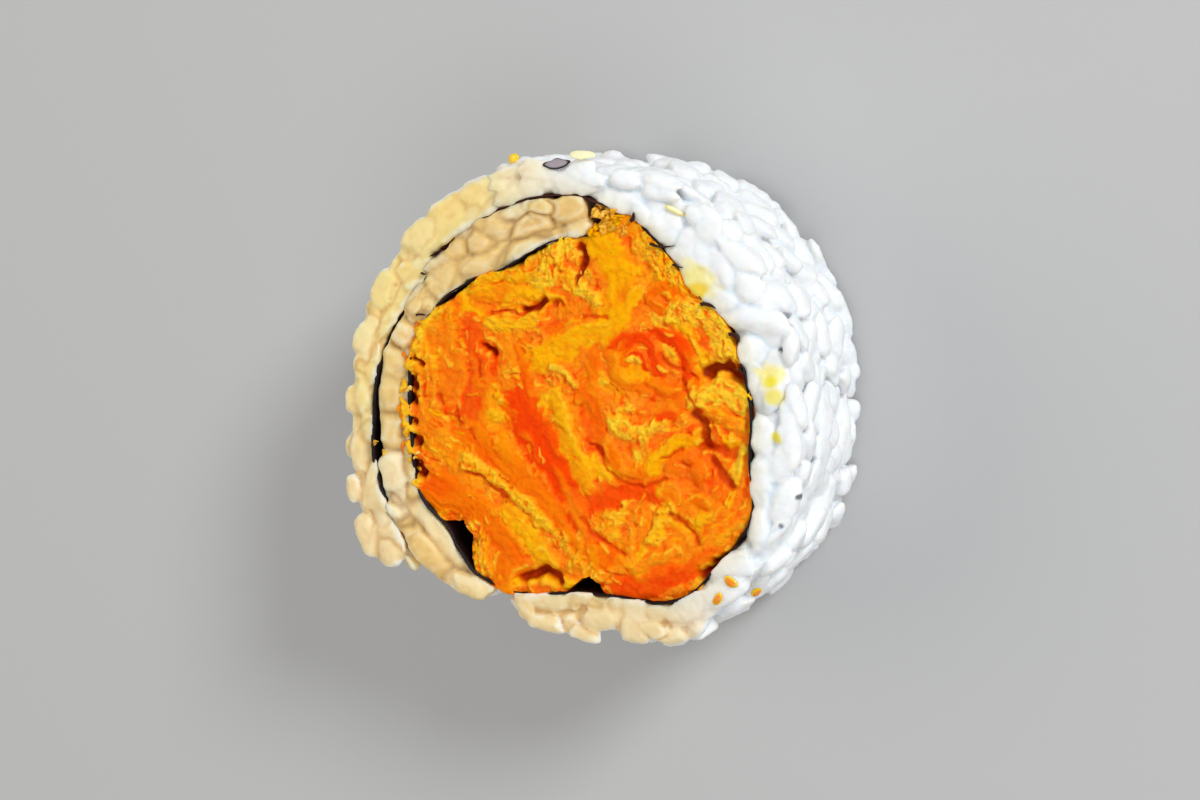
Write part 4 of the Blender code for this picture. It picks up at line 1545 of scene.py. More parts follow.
FLAKES = tuple(Flake(row[:2], row[2:4], row[4:6], *row[6:]) for row in (
    (-10.6, 12.3, -6.0, 13.6, -2.8, 13.0, 0.9, 1.6, YELLOW, 0.4),
    (-11.2, 10.9, -7.0, 11.4, -3.4, 11.7, 0.9, 1.4, YELLOW, 0.2),
    (-3.7, 9.4, -2.2, 12.4, -0.9, 9.6, 0.5, 1.5, YELLOW, 0.1),
    (-2.9, 13.2, -1.9, 15.2, -0.5, 16.6, 1.5, 1.5, BRIGHT, 1.0),
    (-9.4, 8.2, -6.6, 7.4, -4.4, 8.6, 1.0, 1.3, YELLOW, 0.6),
    (-3.4, 4.6, -1.2, 6.2, 1.4, 7.4, 1.7, 1.4, YELLOW, 0.1),
    (-2.2, 3.9, -0.2, 3.5, 0.4, 2.0, 0.35, 1.9, BRIGHT, 0.0),
    (-14.6, 9.4, -12.6, 6.0, -14.0, 1.6, 2.3, 1.2, MID, 0.3),
    (-11.6, 7.2, -9.4, 3.0, -11.4, -1.6, 1.8, 1.1, DEEP, 0.2),
    (-17.4, 4.6, -15.8, 0.4, -16.4, -2.6, 1.5, 1.2, MID, 0.5),
    (-16.6, -2.8, -14.4, -5.6, -13.2, -8.6, 2.2, 1.2, MID, 0.4),
    (-17.4, -9.4, -12.4, -10.4, -7.0, -14.4, 2.1, 1.5, MID, 0.0),
    (-7.6, -13.8, -5.8, -16.6, -8.0, -20.2, 1.9, 1.5, MID, 0.05),
    (-11.2, -14.2, -11.6, -16.2, -10.2, -18.2, 1.2, 1.2, MID, 0.9),
    (-12.2, -6.6, -7.0, -8.6, -0.8, -14.2, 0.8, 1.5, YELLOW, 1.0),
    (-7.2, -11.8, -4.6, -14.0, -2.4, -17.4, 1.2, 1.4, YELLOW, 0.3),
    (-11.6, -3.8, -5.0, -7.4, 4.2, -16.6, 1.9, 1.5, MID, 0.05),
    (-7.4, 4.4, -5.8, -2.4, 0.6, -9.2, 2.5, 1.25, DEEP, 0.0),
    (-1.8, 0.8, -0.2, -4.0, 1.6, -8.8, 1.1, 1.7, YELLOW, 0.2),
    (-6.2, -19.2, -3.4, -18.4, 0.2, -19.0, 0.6, 1.0, YELLOW, 0.1),
    (3.4, -3.2, 5.0, -8.2, 9.2, -6.0, 1.0, 1.7, MID, 0.0),
    (8.8, -6.4, 10.6, -3.0, 13.8, -2.6, 1.0, 1.7, YELLOW, 0.0),
    (4.8, -1.8, 7.2, -3.8, 9.8, -1.4, 1.1, 1.4, BRIGHT, 1.0),
    (11.2, -5.8, 12.4, -4.4, 13.8, -6.4, 1.2, 1.4, MID, 0.2),
    (18.2, -3.8, 17.8, -5.2, 17.2, -6.8, 0.5, 1.4, BRIGHT, 0.2),
    (4.2, -12.8, 3.8, -10.4, 6.8, -8.8, 1.2, 1.5, YELLOW, 0.8),
    (9.0, -13.4, 9.6, -11.2, 11.6, -9.8, 1.1, 1.5, YELLOW, 0.8),
    (13.8, -11.2, 16.2, -12.0, 17.2, -8.6, 0.8, 1.4, YELLOW, 0.3),
    (12.9, -9.4, 13.8, -8.6, 14.4, -9.4, 0.9, 1.5, MID, 0.0),
    (3.0, -17.9, 9.2, -16.0, 17.0, -12.2, 0.85, 1.6, MID, 0.4),
    (5.4, -18.9, 10.4, -17.8, 14.8, -15.0, 1.5, 1.2, DEEP, 0.1),
    (1.6, -10.8, 4.0, -8.2, 9.4, -8.6, 1.5, 1.2, DEEP, 0.1),
    (12.6, -14.2, 14.8, -13.6, 16.4, -11.0, 1.5, 1.1, MID, 0.4),
    (2.8, 17.0, 7.4, 13.4, 4.0, 7.6, 2.0, 1.5, YELLOW, 0.05),
    (0.4, 12.6, 1.4, 11.4, 2.4, 11.0, 0.8, 1.4, BRIGHT, 0.9),
    (-1.2, 5.8, 2.0, 8.2, 4.8, 7.6, 1.1, 1.5, YELLOW, 0.2),
    (8.0, 16.6, 10.8, 15.4, 10.8, 12.4, 1.6, 1.4, YELLOW, 0.9),
    (8.2, 11.4, 9.8, 13.8, 11.5, 11.2, 0.6, 1.4, MID, 0.0),
    (8.2, 11.0, 9.8, 9.0, 11.5, 11.0, 0.6, 1.4, MID, 0.0),
    (11.4, 9.8, 16.2, 10.8, 16.8, 5.4, 1.5, 1.5, BRIGHT, 0.9),
    (11.8, 8.2, 12.6, 5.4, 15.4, 4.6, 1.1, 1.3, YELLOW, 0.5),
    (4.4, 6.4, 8.8, 8.6, 9.2, 4.0, 0.9, 1.4, DEEP, 0.0),
    (4.2, 5.2, 4.6, 1.4, 8.6, 2.2, 0.9, 1.4, MID, 0.1),
    (5.6, 4.6, 6.6, 6.4, 7.7, 4.3, 0.7, 1.3, DEEP, 0.0),
    (6.1, 4.7, 6.5, 4.9, 6.9, 4.6, 0.45, 1.5, BRIGHT, 0.3),
    (9.2, 7.8, 13.2, 7.2, 12.6, 3.2, 1.0, 1.3, DEEP, 0.0),
    (8.8, 2.4, 11.0, 0.6, 13.2, 2.4, 0.9, 1.3, MID, 0.1),
    (9.6, -0.6, 11.2, 0.0, 12.6, -1.6, 0.9, 1.2, DEEP, 0.1),
    (13.6, 1.0, 16.0, 2.8, 18.2, 1.4, 1.3, 1.5, BRIGHT, 0.6),
    (12.2, -1.0, 14.6, 0.4, 17.6, -1.6, 1.1, 1.1, MID, 0.5),
    (1.2, 1.4, 3.2, 0.0, 3.0, -3.0, 1.0, 1.3, MID, 0.1),
    (-8.0, 6.0, -6.6, 4.4, -7.6, 2.0, 1.2, 1.2, MID, 0.4),
    (2.4, 5.0, 2.2, 2.6, 1.0, 1.0, 0.9, 1.3, MID, 0.1),
    (0.0, -9.6, 0.2, -12.0, 2.6, -13.6, 1.2, 1.2, DEEP, 0.2),
    (15.4, -3.0, 16.2, -6.0, 15.6, -8.4, 1.2, 1.0, DEEP, 0.3),
    (9.8, -8.4, 11.6, -8.0, 12.4, -10.8, 1.0, 1.2, MID, 0.3),
    (6.8, -14.6, 7.8, -12.6, 7.6, -10.6, 1.1, 1.2, MID, 0.4),
    (-15.4, 9.8, -17.6, 6.8, -18.4, 3.2, 0.8, 1.7, YELLOW, 0.9),
    (-18.7, 2.6, -19.2, 0.0, -18.7, -3.0, 0.7, 1.7, YELLOW, 0.9),
    (-18.6, -3.4, -18.4, -6.4, -17.8, -9.4, 0.7, 1.7, YELLOW, 0.9),
))

CREVICES = tuple(Crevice(row[:2], row[2:4], row[4:6], *row[6:]) for row in (
    (-9.4, 9.3, -7.6, 9.5, -5.6, 9.1, 0.26, 0.6),
    (-5.6, 9.6, -4.6, 9.4, -3.2, 10.6, 0.45, 1.5),
    (-2.0, 10.2, -1.6, 10.9, -1.2, 10.2, 0.42, 0.9),
    (0.4, 12.9, 1.4, 14.4, 1.0, 16.4, 0.55, 1.3),
    (1.2, 9.2, 2.4, 9.5, 3.8, 8.9, 0.26, 0.5),
    (-12.0, -7.6, -9.6, -8.4, -7.6, -10.2, 0.26, 0.6),
    (1.2, -11.8, 2.8, -13.6, 5.8, -15.4, 0.32, 0.5),
    (10.4, -10.6, 12.8, -11.4, 14.0, -13.8, 0.36, 0.7),
    (2.6, -4.4, 4.6, -9.8, 10.2, -7.4, 0.28, 0.6),
    (9.8, -5.0, 11.4, -4.0, 12.0, -4.2, 0.26, 0.5),
    (2.3, -4.2, 2.6, -4.5, 2.8, -4.9, 0.32, 0.8),
    (14.4, 3.8, 16.0, 4.8, 17.8, 4.0, 0.9, 1.6),
    (12.8, 3.6, 13.0, 3.4, 13.3, 3.2, 0.3, 0.8),
    (13.2, -0.4, 14.4, -1.6, 14.8, -3.2, 0.8, 1.2),
    (14.2, -3.4, 15.6, -3.2, 17.2, -4.2, 0.7, 0.9),
    (15.4, -5.0, 16.4, -6.0, 16.8, -7.6, 0.7, 1.0),
    (-9.9, 5.7, -9.4, 5.2, -9.2, 4.8, 0.5, 1.6),
    (-10.6, 4.2, -10.6, 3.4, -10.4, 2.4, 0.32, 0.5),
    (-18.4, -4.6, -18.0, -5.0, -17.8, -5.4, 0.6, 1.9),
    (-18.0, -7.4, -17.6, -8.0, -17.2, -8.4, 0.55, 2.0),
    (-18.6, -2.4, -18.2, -2.7, -18.0, -3.0, 0.4, 1.6),
    (-18.9, 2.0, -18.4, 1.6, -18.2, 1.2, 0.5, 1.8),
    (-18.9, 0.0, -18.5, -0.4, -18.2, -0.6, 0.5, 1.8),
    (-18.2, 4.0, -17.7, 3.8, -17.4, 3.6, 0.4, 1.5),
    (-5.6, -18.6, -3.6, -17.6, -1.8, -18.2, 0.75, 1.7),
    (-11.8, -3.2, -11.4, -3.6, -11.2, -4.0, 0.4, 0.5),
    (-15.0, 0.3, -14.8, 0.0, -14.6, -0.5, 0.4, 0.5),
    (-13.2, -1.6, -13.0, -2.0, -12.7, -2.5, 0.4, 0.5),
    (9.6, 5.6, 10.6, 4.4, 11.8, 4.2, 0.3, 0.45),
    (12.0, -5.6, 12.3, -5.7, 12.6, -5.8, 0.35, 0.7),
    (11.6, 3.0, 12.6, 1.2, 14.0, 0.0, 0.3, 0.5),
    (-14.8, 10.2, -11.4, 13.2, -7.6, 14.2, 0.32, 2.0),
    (-7.6, 14.2, -4.4, 15.4, -2.2, 17.2, 0.34, 2.2),
    (-17.2, 8.0, -16.4, 9.2, -15.2, 10.2, 0.28, 1.6),
    (18.7, -12.4, 17.0, -15.0, 14.2, -17.0, 0.45, 2.2),
))


@dataclass(frozen=True)
class LooseCrumb:
    """A clump of crumbs at a place of its own: its middle, its size and how pale it is."""

    x: float
    y: float
    size: float
    pale: float


EDGE_CRUMBS = tuple(LooseCrumb(*row) for row in (
    (-16.0, 9.2, 0.42, 0.9),
    (-16.9, 7.4, 0.45, 0.8),
    (-17.6, 5.6, 0.45, 0.9),
    (-18.3, 2.8, 0.42, 0.7),
    (-18.8, 0.7, 0.42, 0.8),
    (-18.6, -1.6, 0.42, 0.6),
    (-18.4, -3.7, 0.40, 0.9),
    (-18.0, -6.4, 0.40, 0.7),
    (-17.8, -9.6, 0.40, 0.8),
    (-21.6, -6.4, 0.60, 0.4),
    (-22.6, -5.4, 0.36, 0.3),
    (-21.2, -7.2, 0.45, 0.5),
    (2.6, 19.6, 1.10, 0.3),
    (3.4, 18.7, 1.20, 0.2),
    (4.4, 18.3, 1.20, 0.1),
    (3.3, 20.0, 1.00, 0.4),
    (5.2, 19.1, 1.00, 0.0),
    (2.4, 18.2, 1.00, 0.0),
    (4.3, 19.6, 0.90, 0.1),
    (5.6, 18.2, 0.90, 0.2),
))


@dataclass
class Flow:
    """The way that the fish's fibres run, kept on an even grid over the cut face as a doubled angle."""

    flakes: Sequence[Flake]
    step: float = 0.3
    reach: float = 23.0
    resting: float = -0.9
    smear: float = 0.25

    def __post_init__(self) -> None:
        """Adds up every flake's heading, weighted by a bell curve of the distance from it."""
        side = np.arange(-self.reach, self.reach + self.step, self.step)
        x, y = np.meshgrid(side, side, indexing="ij")
        self.cosine = np.full(x.shape, 0.05 * math.cos(2 * self.resting))
        self.sine = np.full(x.shape, 0.05 * math.sin(2 * self.resting))
        for flake in self.flakes:
            far, _, heading = flake.measure(x, y, 6)
            weight = np.exp(-((far / (flake.half_width + 0.5)) ** 2))
            self.cosine += weight * np.cos(2 * heading)
            self.sine += weight * np.sin(2 * heading)

    def heading(self, x: np.ndarray, y: np.ndarray) -> tuple[np.ndarray, np.ndarray]:
        """The fibres' direction at points, from the four nearest corners of the grid.

        Args:
            x: of each point.
            y: of each point.

        Returns:
            The direction's cosine and sine.
        """
        place_x = np.clip((x + self.reach) / self.step, 0, self.cosine.shape[0] - 1.001)
        place_y = np.clip((y + self.reach) / self.step, 0, self.cosine.shape[1] - 1.001)
        i, j = place_x.astype(int), place_y.astype(int)
        s, t = place_x - i, place_y - j
        read = []
        for table in (self.cosine, self.sine):
            near = table[i, j] * (1 - t) + table[i, j + 1] * t
            far = table[i + 1, j] * (1 - t) + table[i + 1, j + 1] * t
            read.append(near * (1 - s) + far * s)
        angle = np.arctan2(read[1], read[0]) / 2
        return np.cos(angle), np.sin(angle)

    def streaks(self, x: np.ndarray, y: np.ndarray, scale: float, length: float, seed: int) -> np.ndarray:
        """Noise smeared along the fibres.

        It is the mean of the noise met on a walk from each point, length long both ways, that keeps turning
        with the fibres, divided by its own spread.

        Args:
            x: of each point.
            y: of each point.
            scale: the noise's size across the fibres.
            length: how far the walk goes each way.
            seed: which noise.

        Returns:
            Values of about -2 to 2.
        """
        total = noise(with_height(x, y), scale, seed)
        for way in (-1.0, 1.0):
            at_x, at_y = x, y
            step_x, step_y = self.heading(x, y)
            step_x, step_y = step_x * way, step_y * way
            for _ in range(int(length / self.smear)):
                at_x, at_y = at_x + self.smear * step_x, at_y + self.smear * step_y
                next_x, next_y = self.heading(at_x, at_y)
                turn = np.where(next_x * step_x + next_y * step_y < 0, -1.0, 1.0)
                step_x, step_y = next_x * turn, next_y * turn
                total = total + noise(with_height(at_x, at_y), scale, seed)
        return (total - total.mean()) / total.std()


@dataclass(frozen=True)
class CutFace:
    """One cut face of the filling on a grid: its points, their colours, and how crumbly each is."""

    points: np.ndarray
    colours: np.ndarray
    crumbly: np.ndarray


@dataclass
class Filling:
    """The flaked fish: a fine relief over both cut faces, with a plain side, and crumbs that lie on it."""

    base_drop: float = 1.15
    rim_drop: float = 0.15
    rim_rounding: float = 12.0
    most_rise: float = 1.35
    cells: int = 296
    foot_cells: int = 60
    lap: float = 0.5
    least_lap: float = 0.14
    left_rise: float = 0.55
    left_reach: float = 1.0
    stray_flakes: int = 120
    loose_crumbs: int = 110
    flecks: int = 900
    foot_lift: float = 0.9
    foot_relief: float = 0.7
    wall_foot: float = 1.2
    wall_inset: float = 0.994
    wall_shade: float = 0.6
    crumbs_from: float = 0.55
    crumbs_within: float = 19.5
    crumbs_each: int = 4
    crumb_size: tuple[float, float] = (0.18, 0.5)
    crumb_shape: tuple[tuple[float, ...], ...] = ((0.9, 0.45, 0.4), (1.3, 0.9, 0.8))
    crumb_drop: tuple[float, float] = (0.4, 1.2)
    crumb_most: float = 0.1
    seed: int = 5
    pieces: list[bpy.types.Object] = field(default_factory=list)

    def strays(self) -> list[Flake]:
        """Small flakes of no fixed place, which fill in under and between the named ones.

        Returns:
            The flakes, in the order in which they are laid.
        """
        rng = np.random.default_rng(self.seed)
        tones = list(Tone)
        made = []
        for _ in range(self.stray_flakes):
            far, turn = 19.0 * math.sqrt(rng.uniform()), rng.uniform(0, 2 * math.pi)
            middle = np.array([far * math.cos(turn), far * math.sin(turn)])
            way = rng.normal(-0.8, 0.9)
            step = np.array([math.cos(way), math.sin(way)]) * rng.uniform(0.8, 2.6)
            side = np.array([-step[1], step[0]]) * rng.uniform(-0.5, 0.5)
            tone = tones[rng.choice(4, p=(0.26, 0.48, 0.2, 0.06))]
            half_width, rise = rng.uniform(0.5, 1.3), rng.uniform(0.7, 1.25)
            ends = (middle - step, middle + side, middle + step)
            start, bend, end = (tuple(spot) for spot in ends)
            made.append(Flake(start, bend, end, half_width, rise, tone, rng.uniform(0.1, 0.9)))
        return made

    def fleck_list(self, x: np.ndarray, y: np.ndarray, crumbly: np.ndarray, flow: Flow) -> list[Flake]:
        """Tiny slivers along the fibres, most of them where the fish is crumbly.

        Args:
            x: of each point.
            y: of each point.
            crumbly: of each point.
            flow: the fibres.

        Returns:
            The slivers, whose rise is counted from what they lie on.
        """
        rng = np.random.default_rng(self.seed + 2)
        chance = 0.02 + crumbly.ravel() ** 2
        chosen = rng.choice(x.size, self.flecks, p=chance / chance.sum())
        tones = list(Tone)
        made = []
        for at_x, at_y in zip(x.ravel()[chosen], y.ravel()[chosen]):
            along_x, along_y = flow.heading(np.array([at_x]), np.array([at_y]))
            way = math.atan2(float(along_y[0]), float(along_x[0])) + rng.normal(0, 0.5)
            step = np.array([math.cos(way), math.sin(way)]) * rng.uniform(0.1, 0.55)
            side = np.array([-step[1], step[0]]) * rng.uniform(-0.4, 0.4)
            middle = np.array([at_x, at_y])
            start, bend, end = (tuple(spot) for spot in (middle - step, middle + side, middle + step))
            tone = tones[rng.choice(4, p=(0.22, 0.1, 0.34, 0.34))]
            rise = rng.uniform(0.04, 0.16) * (-1.0 if tone is Tone.DEEP else 1.0)
            made.append(Flake(start, bend, end, rng.uniform(0.1, 0.24), rise, tone))
        return made

    def relief(self, x: np.ndarray, y: np.ndarray) -> tuple[np.ndarray, np.ndarray, np.ndarray]:
        """The cut face's relief and colour.

        Flakes are laid over each other in order as low domes with soft edges, each a little higher on one
        side, which gets a yellower painted highlight. Noise smeared along the fibres and rounded crumbs add
        to them, and crevices are pressed in last and given painted shade. All is read through two noises, so
        that edges are ragged.

        Args:
            x: of each point.
            y: of each point.

        Returns:
            Height over the base, colour, and crumbliness from 0 to 1.
        """
        flat = with_height(x, y)
        x = x + 0.34 * noise(flat, 1.5, 31) + 0.13 * noise(flat, 0.5, 32)
        y = y + 0.34 * noise(flat, 1.5, 33) + 0.13 * noise(flat, 0.5, 34)
        flakes = self.strays() + list(FLAKES)
        flow = Flow(flakes)
        broad = flow.streaks(x, y, 1.1, 2.6, 41)
        fine = flow.streaks(x, y, 0.42, 1.4, 42)
        lumps = crumbs_of(flat + 0.15 * noise(flat, 0.4, 35)[..., None], 0.9, 36)
        grit = crumbs_of(flat, 0.42, 37)
        torn = noise(flat, 0.32, 44)
        height = 0.2 + 0.3 * noise(flat, 2.6, 38)
        colour = np.broadcast_to(Rgb.FISH_MID.linear(), (*x.shape, 3)).copy()
        colour = Rgb.FISH_DEEP.over(colour, 0.5 + 0.5 * noise(flat, 2.2, 39))
        crumbly = np.full(x.shape, 0.45)
        for flake in flakes:
            near = flake.near(x, y)
            far, across, _ = flake.measure(x[near], y[near])
            share = far / flake.half_width
            mask = 1 - smoothstep(0.62, 1.12, share + 0.13 * fine[near] + 0.16 * torn[near])
            side = np.clip(across / flake.half_width, -1, 1)
            dome = 0.2 * (1 - np.clip(share, 0, 1) ** 4)
            level = 0.55 * (flake.rise - 0.75) + dome + 0.14 * side
            height[near] += (level - height[near]) * mask
            # painted highlight: each flake's higher side turns yellower
            painted_highlight = 0.3 * np.clip(side, 0, 1) ** 2
            shade = blend(flake.tone.value.linear(), Rgb.FISH_YELLOW.linear(), painted_highlight)
            colour[near] += (shade - colour[near]) * mask[..., None]
            crumbly[near] += (flake.crumb - crumbly[near]) * mask
        height = height + 0.06 * broad + 0.04 * fine + 0.03 * torn
        height = height + crumbly * (0.36 * lumps + 0.18 * grit + 0.1 * torn - 0.24)
        colour = Rgb.FISH_YELLOW.over(colour, 0.36 * smoothstep(0.3, 2.0, broad))
        colour = Rgb.FISH_DEEP.over(colour, 0.5 * smoothstep(-0.3, -2.0, broad))
        colour = Rgb.FISH_BRIGHT.over(colour, 0.5 * crumbly * smoothstep(0.35, 0.9, lumps))
        for fleck in self.fleck_list(x, y, crumbly, flow):
            near = fleck.near(x, y)
            far, _, _ = fleck.measure(x[near], y[near], 2)
            mask = 1 - smoothstep(0.4, 1.1, far / fleck.half_width + 0.3 * fine[near])
            height[near] += fleck.rise * mask
            colour[near] = fleck.tone.value.over(colour[near], 0.6 * mask)
        ragged = noise(flat, 0.8, 45)
        for crevice in CREVICES:
            far, _, _ = crevice.measure(x, y)
            far = far * (1.15 + 0.5 * ragged)
            pressed = np.exp(-((far / crevice.half_width) ** 2))
            deep = smoothstep(0.75, 1.5, np.array(crevice.depth))
            height = height - crevice.depth * (0.5 + 0.3 * deep) * pressed
            # painted shade in the crevices, near black in the deepest
            colour = Rgb.FISH_SHADOW.over(colour, 0.8 * smoothstep(0.2, 0.8, pressed))
            colour = Rgb.FISH_HOLE_SHADE.over(colour, 0.9 * deep * smoothstep(0.4, 0.8, pressed))
        return height, colour, crumbly

    def face(self, cells: int) -> CutFace:
        """A cut face on a square grid that is squeezed to a disc and stretched to the filling's rim.

        A square's point (u, v) goes to (u sqrt(1 - v^2 / 2), v sqrt(1 - u^2 / 2)) of the unit disc. Hollows
        of the relief get painted shade, and its crests a painted highlight.

        Args:
            cells: points along each side of the grid.

        Returns:
            The face, its heights counted from the base.
        """
        u, v = np.meshgrid(np.linspace(-1, 1, cells), np.linspace(-1, 1, cells), indexing="ij")
        disc_x, disc_y = u * np.sqrt(1 - v**2 / 2), v * np.sqrt(1 - u**2 / 2)
        angle = WINDING.start + (np.degrees(np.arctan2(disc_y, disc_x)) - WINDING.start) % 360
        rim = WINDING.fish_rim(angle)
        ragged = noise(with_height(disc_x * rim, disc_y * rim), 1.3, 46) + 0.5 * noise(
            with_height(disc_x * rim, disc_y * rim), 0.5, 47
        )
        left = smoothstep(148.0, 160.0, angle % 360) * smoothstep(208.0, 198.0, angle % 360)
        rim = rim + self.left_reach * left * np.hypot(disc_x, disc_y) ** 4
        outermost = smoothstep(0.9, 1.0, np.hypot(disc_x, disc_y))
        rim = rim + (self.least_lap + self.lap * smoothstep(-0.5, 0.8, ragged)) * outermost
        x, y = disc_x * rim, disc_y * rim
        height, colour, crumbly = self.relief(x, y)
        height = self.most_rise - np.logaddexp(0, (self.most_rise - height) * 6) / 6
        height = height - self.rim_drop * np.hypot(disc_x, disc_y) ** self.rim_rounding
        height = height + self.left_rise * left * outermost * (0.6 + 0.4 * ragged)
        cavity = height - self.blurred(height, max(cells // 54, 1))
        # painted shade in hollows of the relief, painted highlight on its crests
        colour = Rgb.FISH_SHADOW.over(colour, 0.45 * smoothstep(-0.1, -0.5, cavity))
        colour = Rgb.FISH_BRIGHT.over(colour, 0.5 * smoothstep(0.06, 0.3, cavity))
        return CutFace(with_height(x, y, height), colour, crumbly)

    def build(self) -> None:
        """Makes the body from the two cut faces and the side between them, and the crumbs on it."""
        half = 1
        top = self.face(self.cells // half)
        foot = self.face(self.foot_cells // half)
        self.body(top, foot)
        self.crumbs(top)

    def body(self, top: CutFace, foot: CutFace) -> None:
        """Joins both faces by a side whose rings blend from one face's edge to the other's.

        Args:
            top: the upper cut face.
            foot: the lower one, its heights turned downwards from just over the foot.
        """
        upper = top.points.copy()
        upper[..., 2] = LENGTH - self.base_drop + upper[..., 2]
        lower = foot.points.copy()
        lower[..., 2] = np.clip(self.foot_lift - self.foot_relief * lower[..., 2], 0.0, None)
        edge = self.rim_of(len(upper))
        ring = upper.reshape(-1, 3)[edge]
        points, colours = [upper.reshape(-1, 3)], [top.colours.reshape(-1, 3)]
        levels = np.linspace(0, 1, 7)[1:-1]
        for share in levels:
            step = ring * [self.wall_inset, self.wall_inset, 1.0]
            step[:, 2] = ring[:, 2] * (1 - share) + self.wall_foot * share
            points.append(step)
            # the side behind the sheet painted darker: painted shade
            colours.append(np.tile(Rgb.FISH_DEEP.linear() * self.wall_shade, (len(edge), 1)))
        count = len(upper) ** 2
        lower_rings = count + np.arange(len(levels) * len(edge)).reshape(len(levels), -1)
        rings = np.concatenate([edge[None], lower_rings])
        following = np.roll(rings, -1, axis=1)
        walls = np.stack([rings[:-1], following[:-1], following[1:], rings[1:]], axis=-1).reshape(-1, 4)
        start = sum(len(part) for part in points)
        points.append(lower.reshape(-1, 3))
        colours.append(foot.colours.reshape(-1, 3))
        lower_edge = start + self.rim_of(len(lower))
        seam = self.seam(rings[-1], lower_edge)
        lower_faces = grid_faces(len(lower), len(lower))[:, ::-1] + start
        upper_faces = grid_faces(len(upper), len(upper))
        made = add_mesh("fish_filling", np.concatenate(points), [upper_faces, walls, seam, lower_faces])
        point_outwards(made)
        paint(made, np.concatenate(colours))
        self.pieces.append(made)

    def rim_of(self, cells: int) -> np.ndarray:
        """The numbers of a grid's edge points, in order round it."""
        number = np.arange(cells * cells).reshape(cells, cells)
        return np.concatenate([number[:-1, 0], number[-1, :-1], number[:0:-1, -1], number[0, :0:-1]])

    def seam(self, many: np.ndarray, few: np.ndarray) -> np.ndarray:
        """Triangles between two closed rings of different counts, which advance at an even share.

        Args:
            many: the longer ring's point numbers.
            few: the shorter ring's.

        Returns:
            The triangles.
        """
        here = np.arange(len(many))
        near = (here * len(few) // len(many)) % len(few)
        after = ((here + 1) * len(few) // len(many)) % len(few)
        fan = np.stack([many, few[near], np.roll(many, -1)], axis=1)
        moved = near != after
        fill = np.stack([np.roll(many, -1)[moved], few[near[moved]], few[after[moved]]], axis=1)
        return np.concatenate([fan, fill])

    def crumbs(self, top: CutFace) -> None:
        """Loose crumbs: small lumpy balls on the crumbliest places and where the edge crumbs are named.

        Args:
            top: the upper cut face that they lie on.
        """
        rng = np.random.default_rng(self.seed + 1)
        ball, ball_faces = unit_ball(3)
        spots = top.points.reshape(-1, 3) + [0, 0, LENGTH - self.base_drop]
        inside = np.hypot(spots[:, 0], spots[:, 1]) < self.crumbs_within
        chance = np.clip(top.crumbly.ravel() - self.crumbs_from, 0, None) * inside
        chosen = spots[rng.choice(len(spots), self.loose_crumbs, p=chance / chance.sum())]
        named = [(crumb.x, crumb.y, crumb.size, crumb.pale) for crumb in EDGE_CRUMBS]
        rows = np.repeat(named, self.crumbs_each, axis=0)
        edge = with_height(rows[:, 0], rows[:, 1], LENGTH - rng.uniform(*self.crumb_drop, len(rows)))
        edge[:, :2] += rng.normal(0, 0.5, (len(rows), 2)) * np.minimum(rows[:, 2:3], 0.6)
        middle = np.concatenate([chosen, edge])
        small = rng.uniform(*self.crumb_size, len(chosen))
        size = np.concatenate([small, rows[:, 2] * rng.uniform(0.8, 1.9, len(rows))])
        shape = size[:, None] * rng.uniform(*self.crumb_shape, (len(middle), 3))
        way, out = rng.normal(0, 1, (2, len(middle), 3))
        cloud = Grains(middle, way, out, shape, self.seed, 0.0, 0.4, 14, (0.35, 0.85)).points(ball)
        lump = 0.25 * noise(cloud, 0.3, 61) + 0.15 * noise(cloud, 0.14, 62)
        cloud = cloud + size[:, None, None] * lump[..., None] * ball[None]
        cloud[..., 2] = np.minimum(cloud[..., 2], LENGTH + self.crumb_most)
        made = add_mesh("fish_crumbs", cloud, [copies(cloud, ball_faces)])
        pale = np.concatenate([rng.uniform(0, 0.4, len(chosen)), rows[:, 3]])
        pale = pale[:, None] * np.ones((1, len(ball)))
        paint(made, blend(Rgb.FISH_YELLOW.linear(), Rgb.CRUMB_PALE.linear(), pale).reshape(-1, 3))
        self.pieces.append(made)

    def blurred(self, height: np.ndarray, reach: int) -> np.ndarray:
        """The mean of height over a square of cells, by running sums.

        Args:
            height: on a square grid.
            reach: cells to each side of the middle one.

        Returns:
            The means, on the same grid.
        """
        padded = np.pad(height, reach, mode="edge")
        summed = np.pad(padded.cumsum(0).cumsum(1), ((1, 0), (1, 0)))
        side = 2 * reach + 1
        right, left = summed[:, side:], summed[:, :-side]
        total = right[side:] - right[:-side] - left[side:] + left[:-side]
        return total / side**2

    def dress(self, material: bpy.types.Material) -> None:
        """Gives the filling its material and hides the solid that it stands for."""
        for made in self.pieces:
            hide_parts("filling")
            dress(made, material)


@dataclass(frozen=True)
class Topping:
    """Something small on the rice: its middle, the way its flat face looks, its turn and its size."""

    name: str
    middle: tuple[float, float, float]
    face: tuple[float, float, float]
    turn: float
    size: tuple[float, float, float]
    colour: Rgb
    rim_colour: Rgb
    taper: float = 0.0


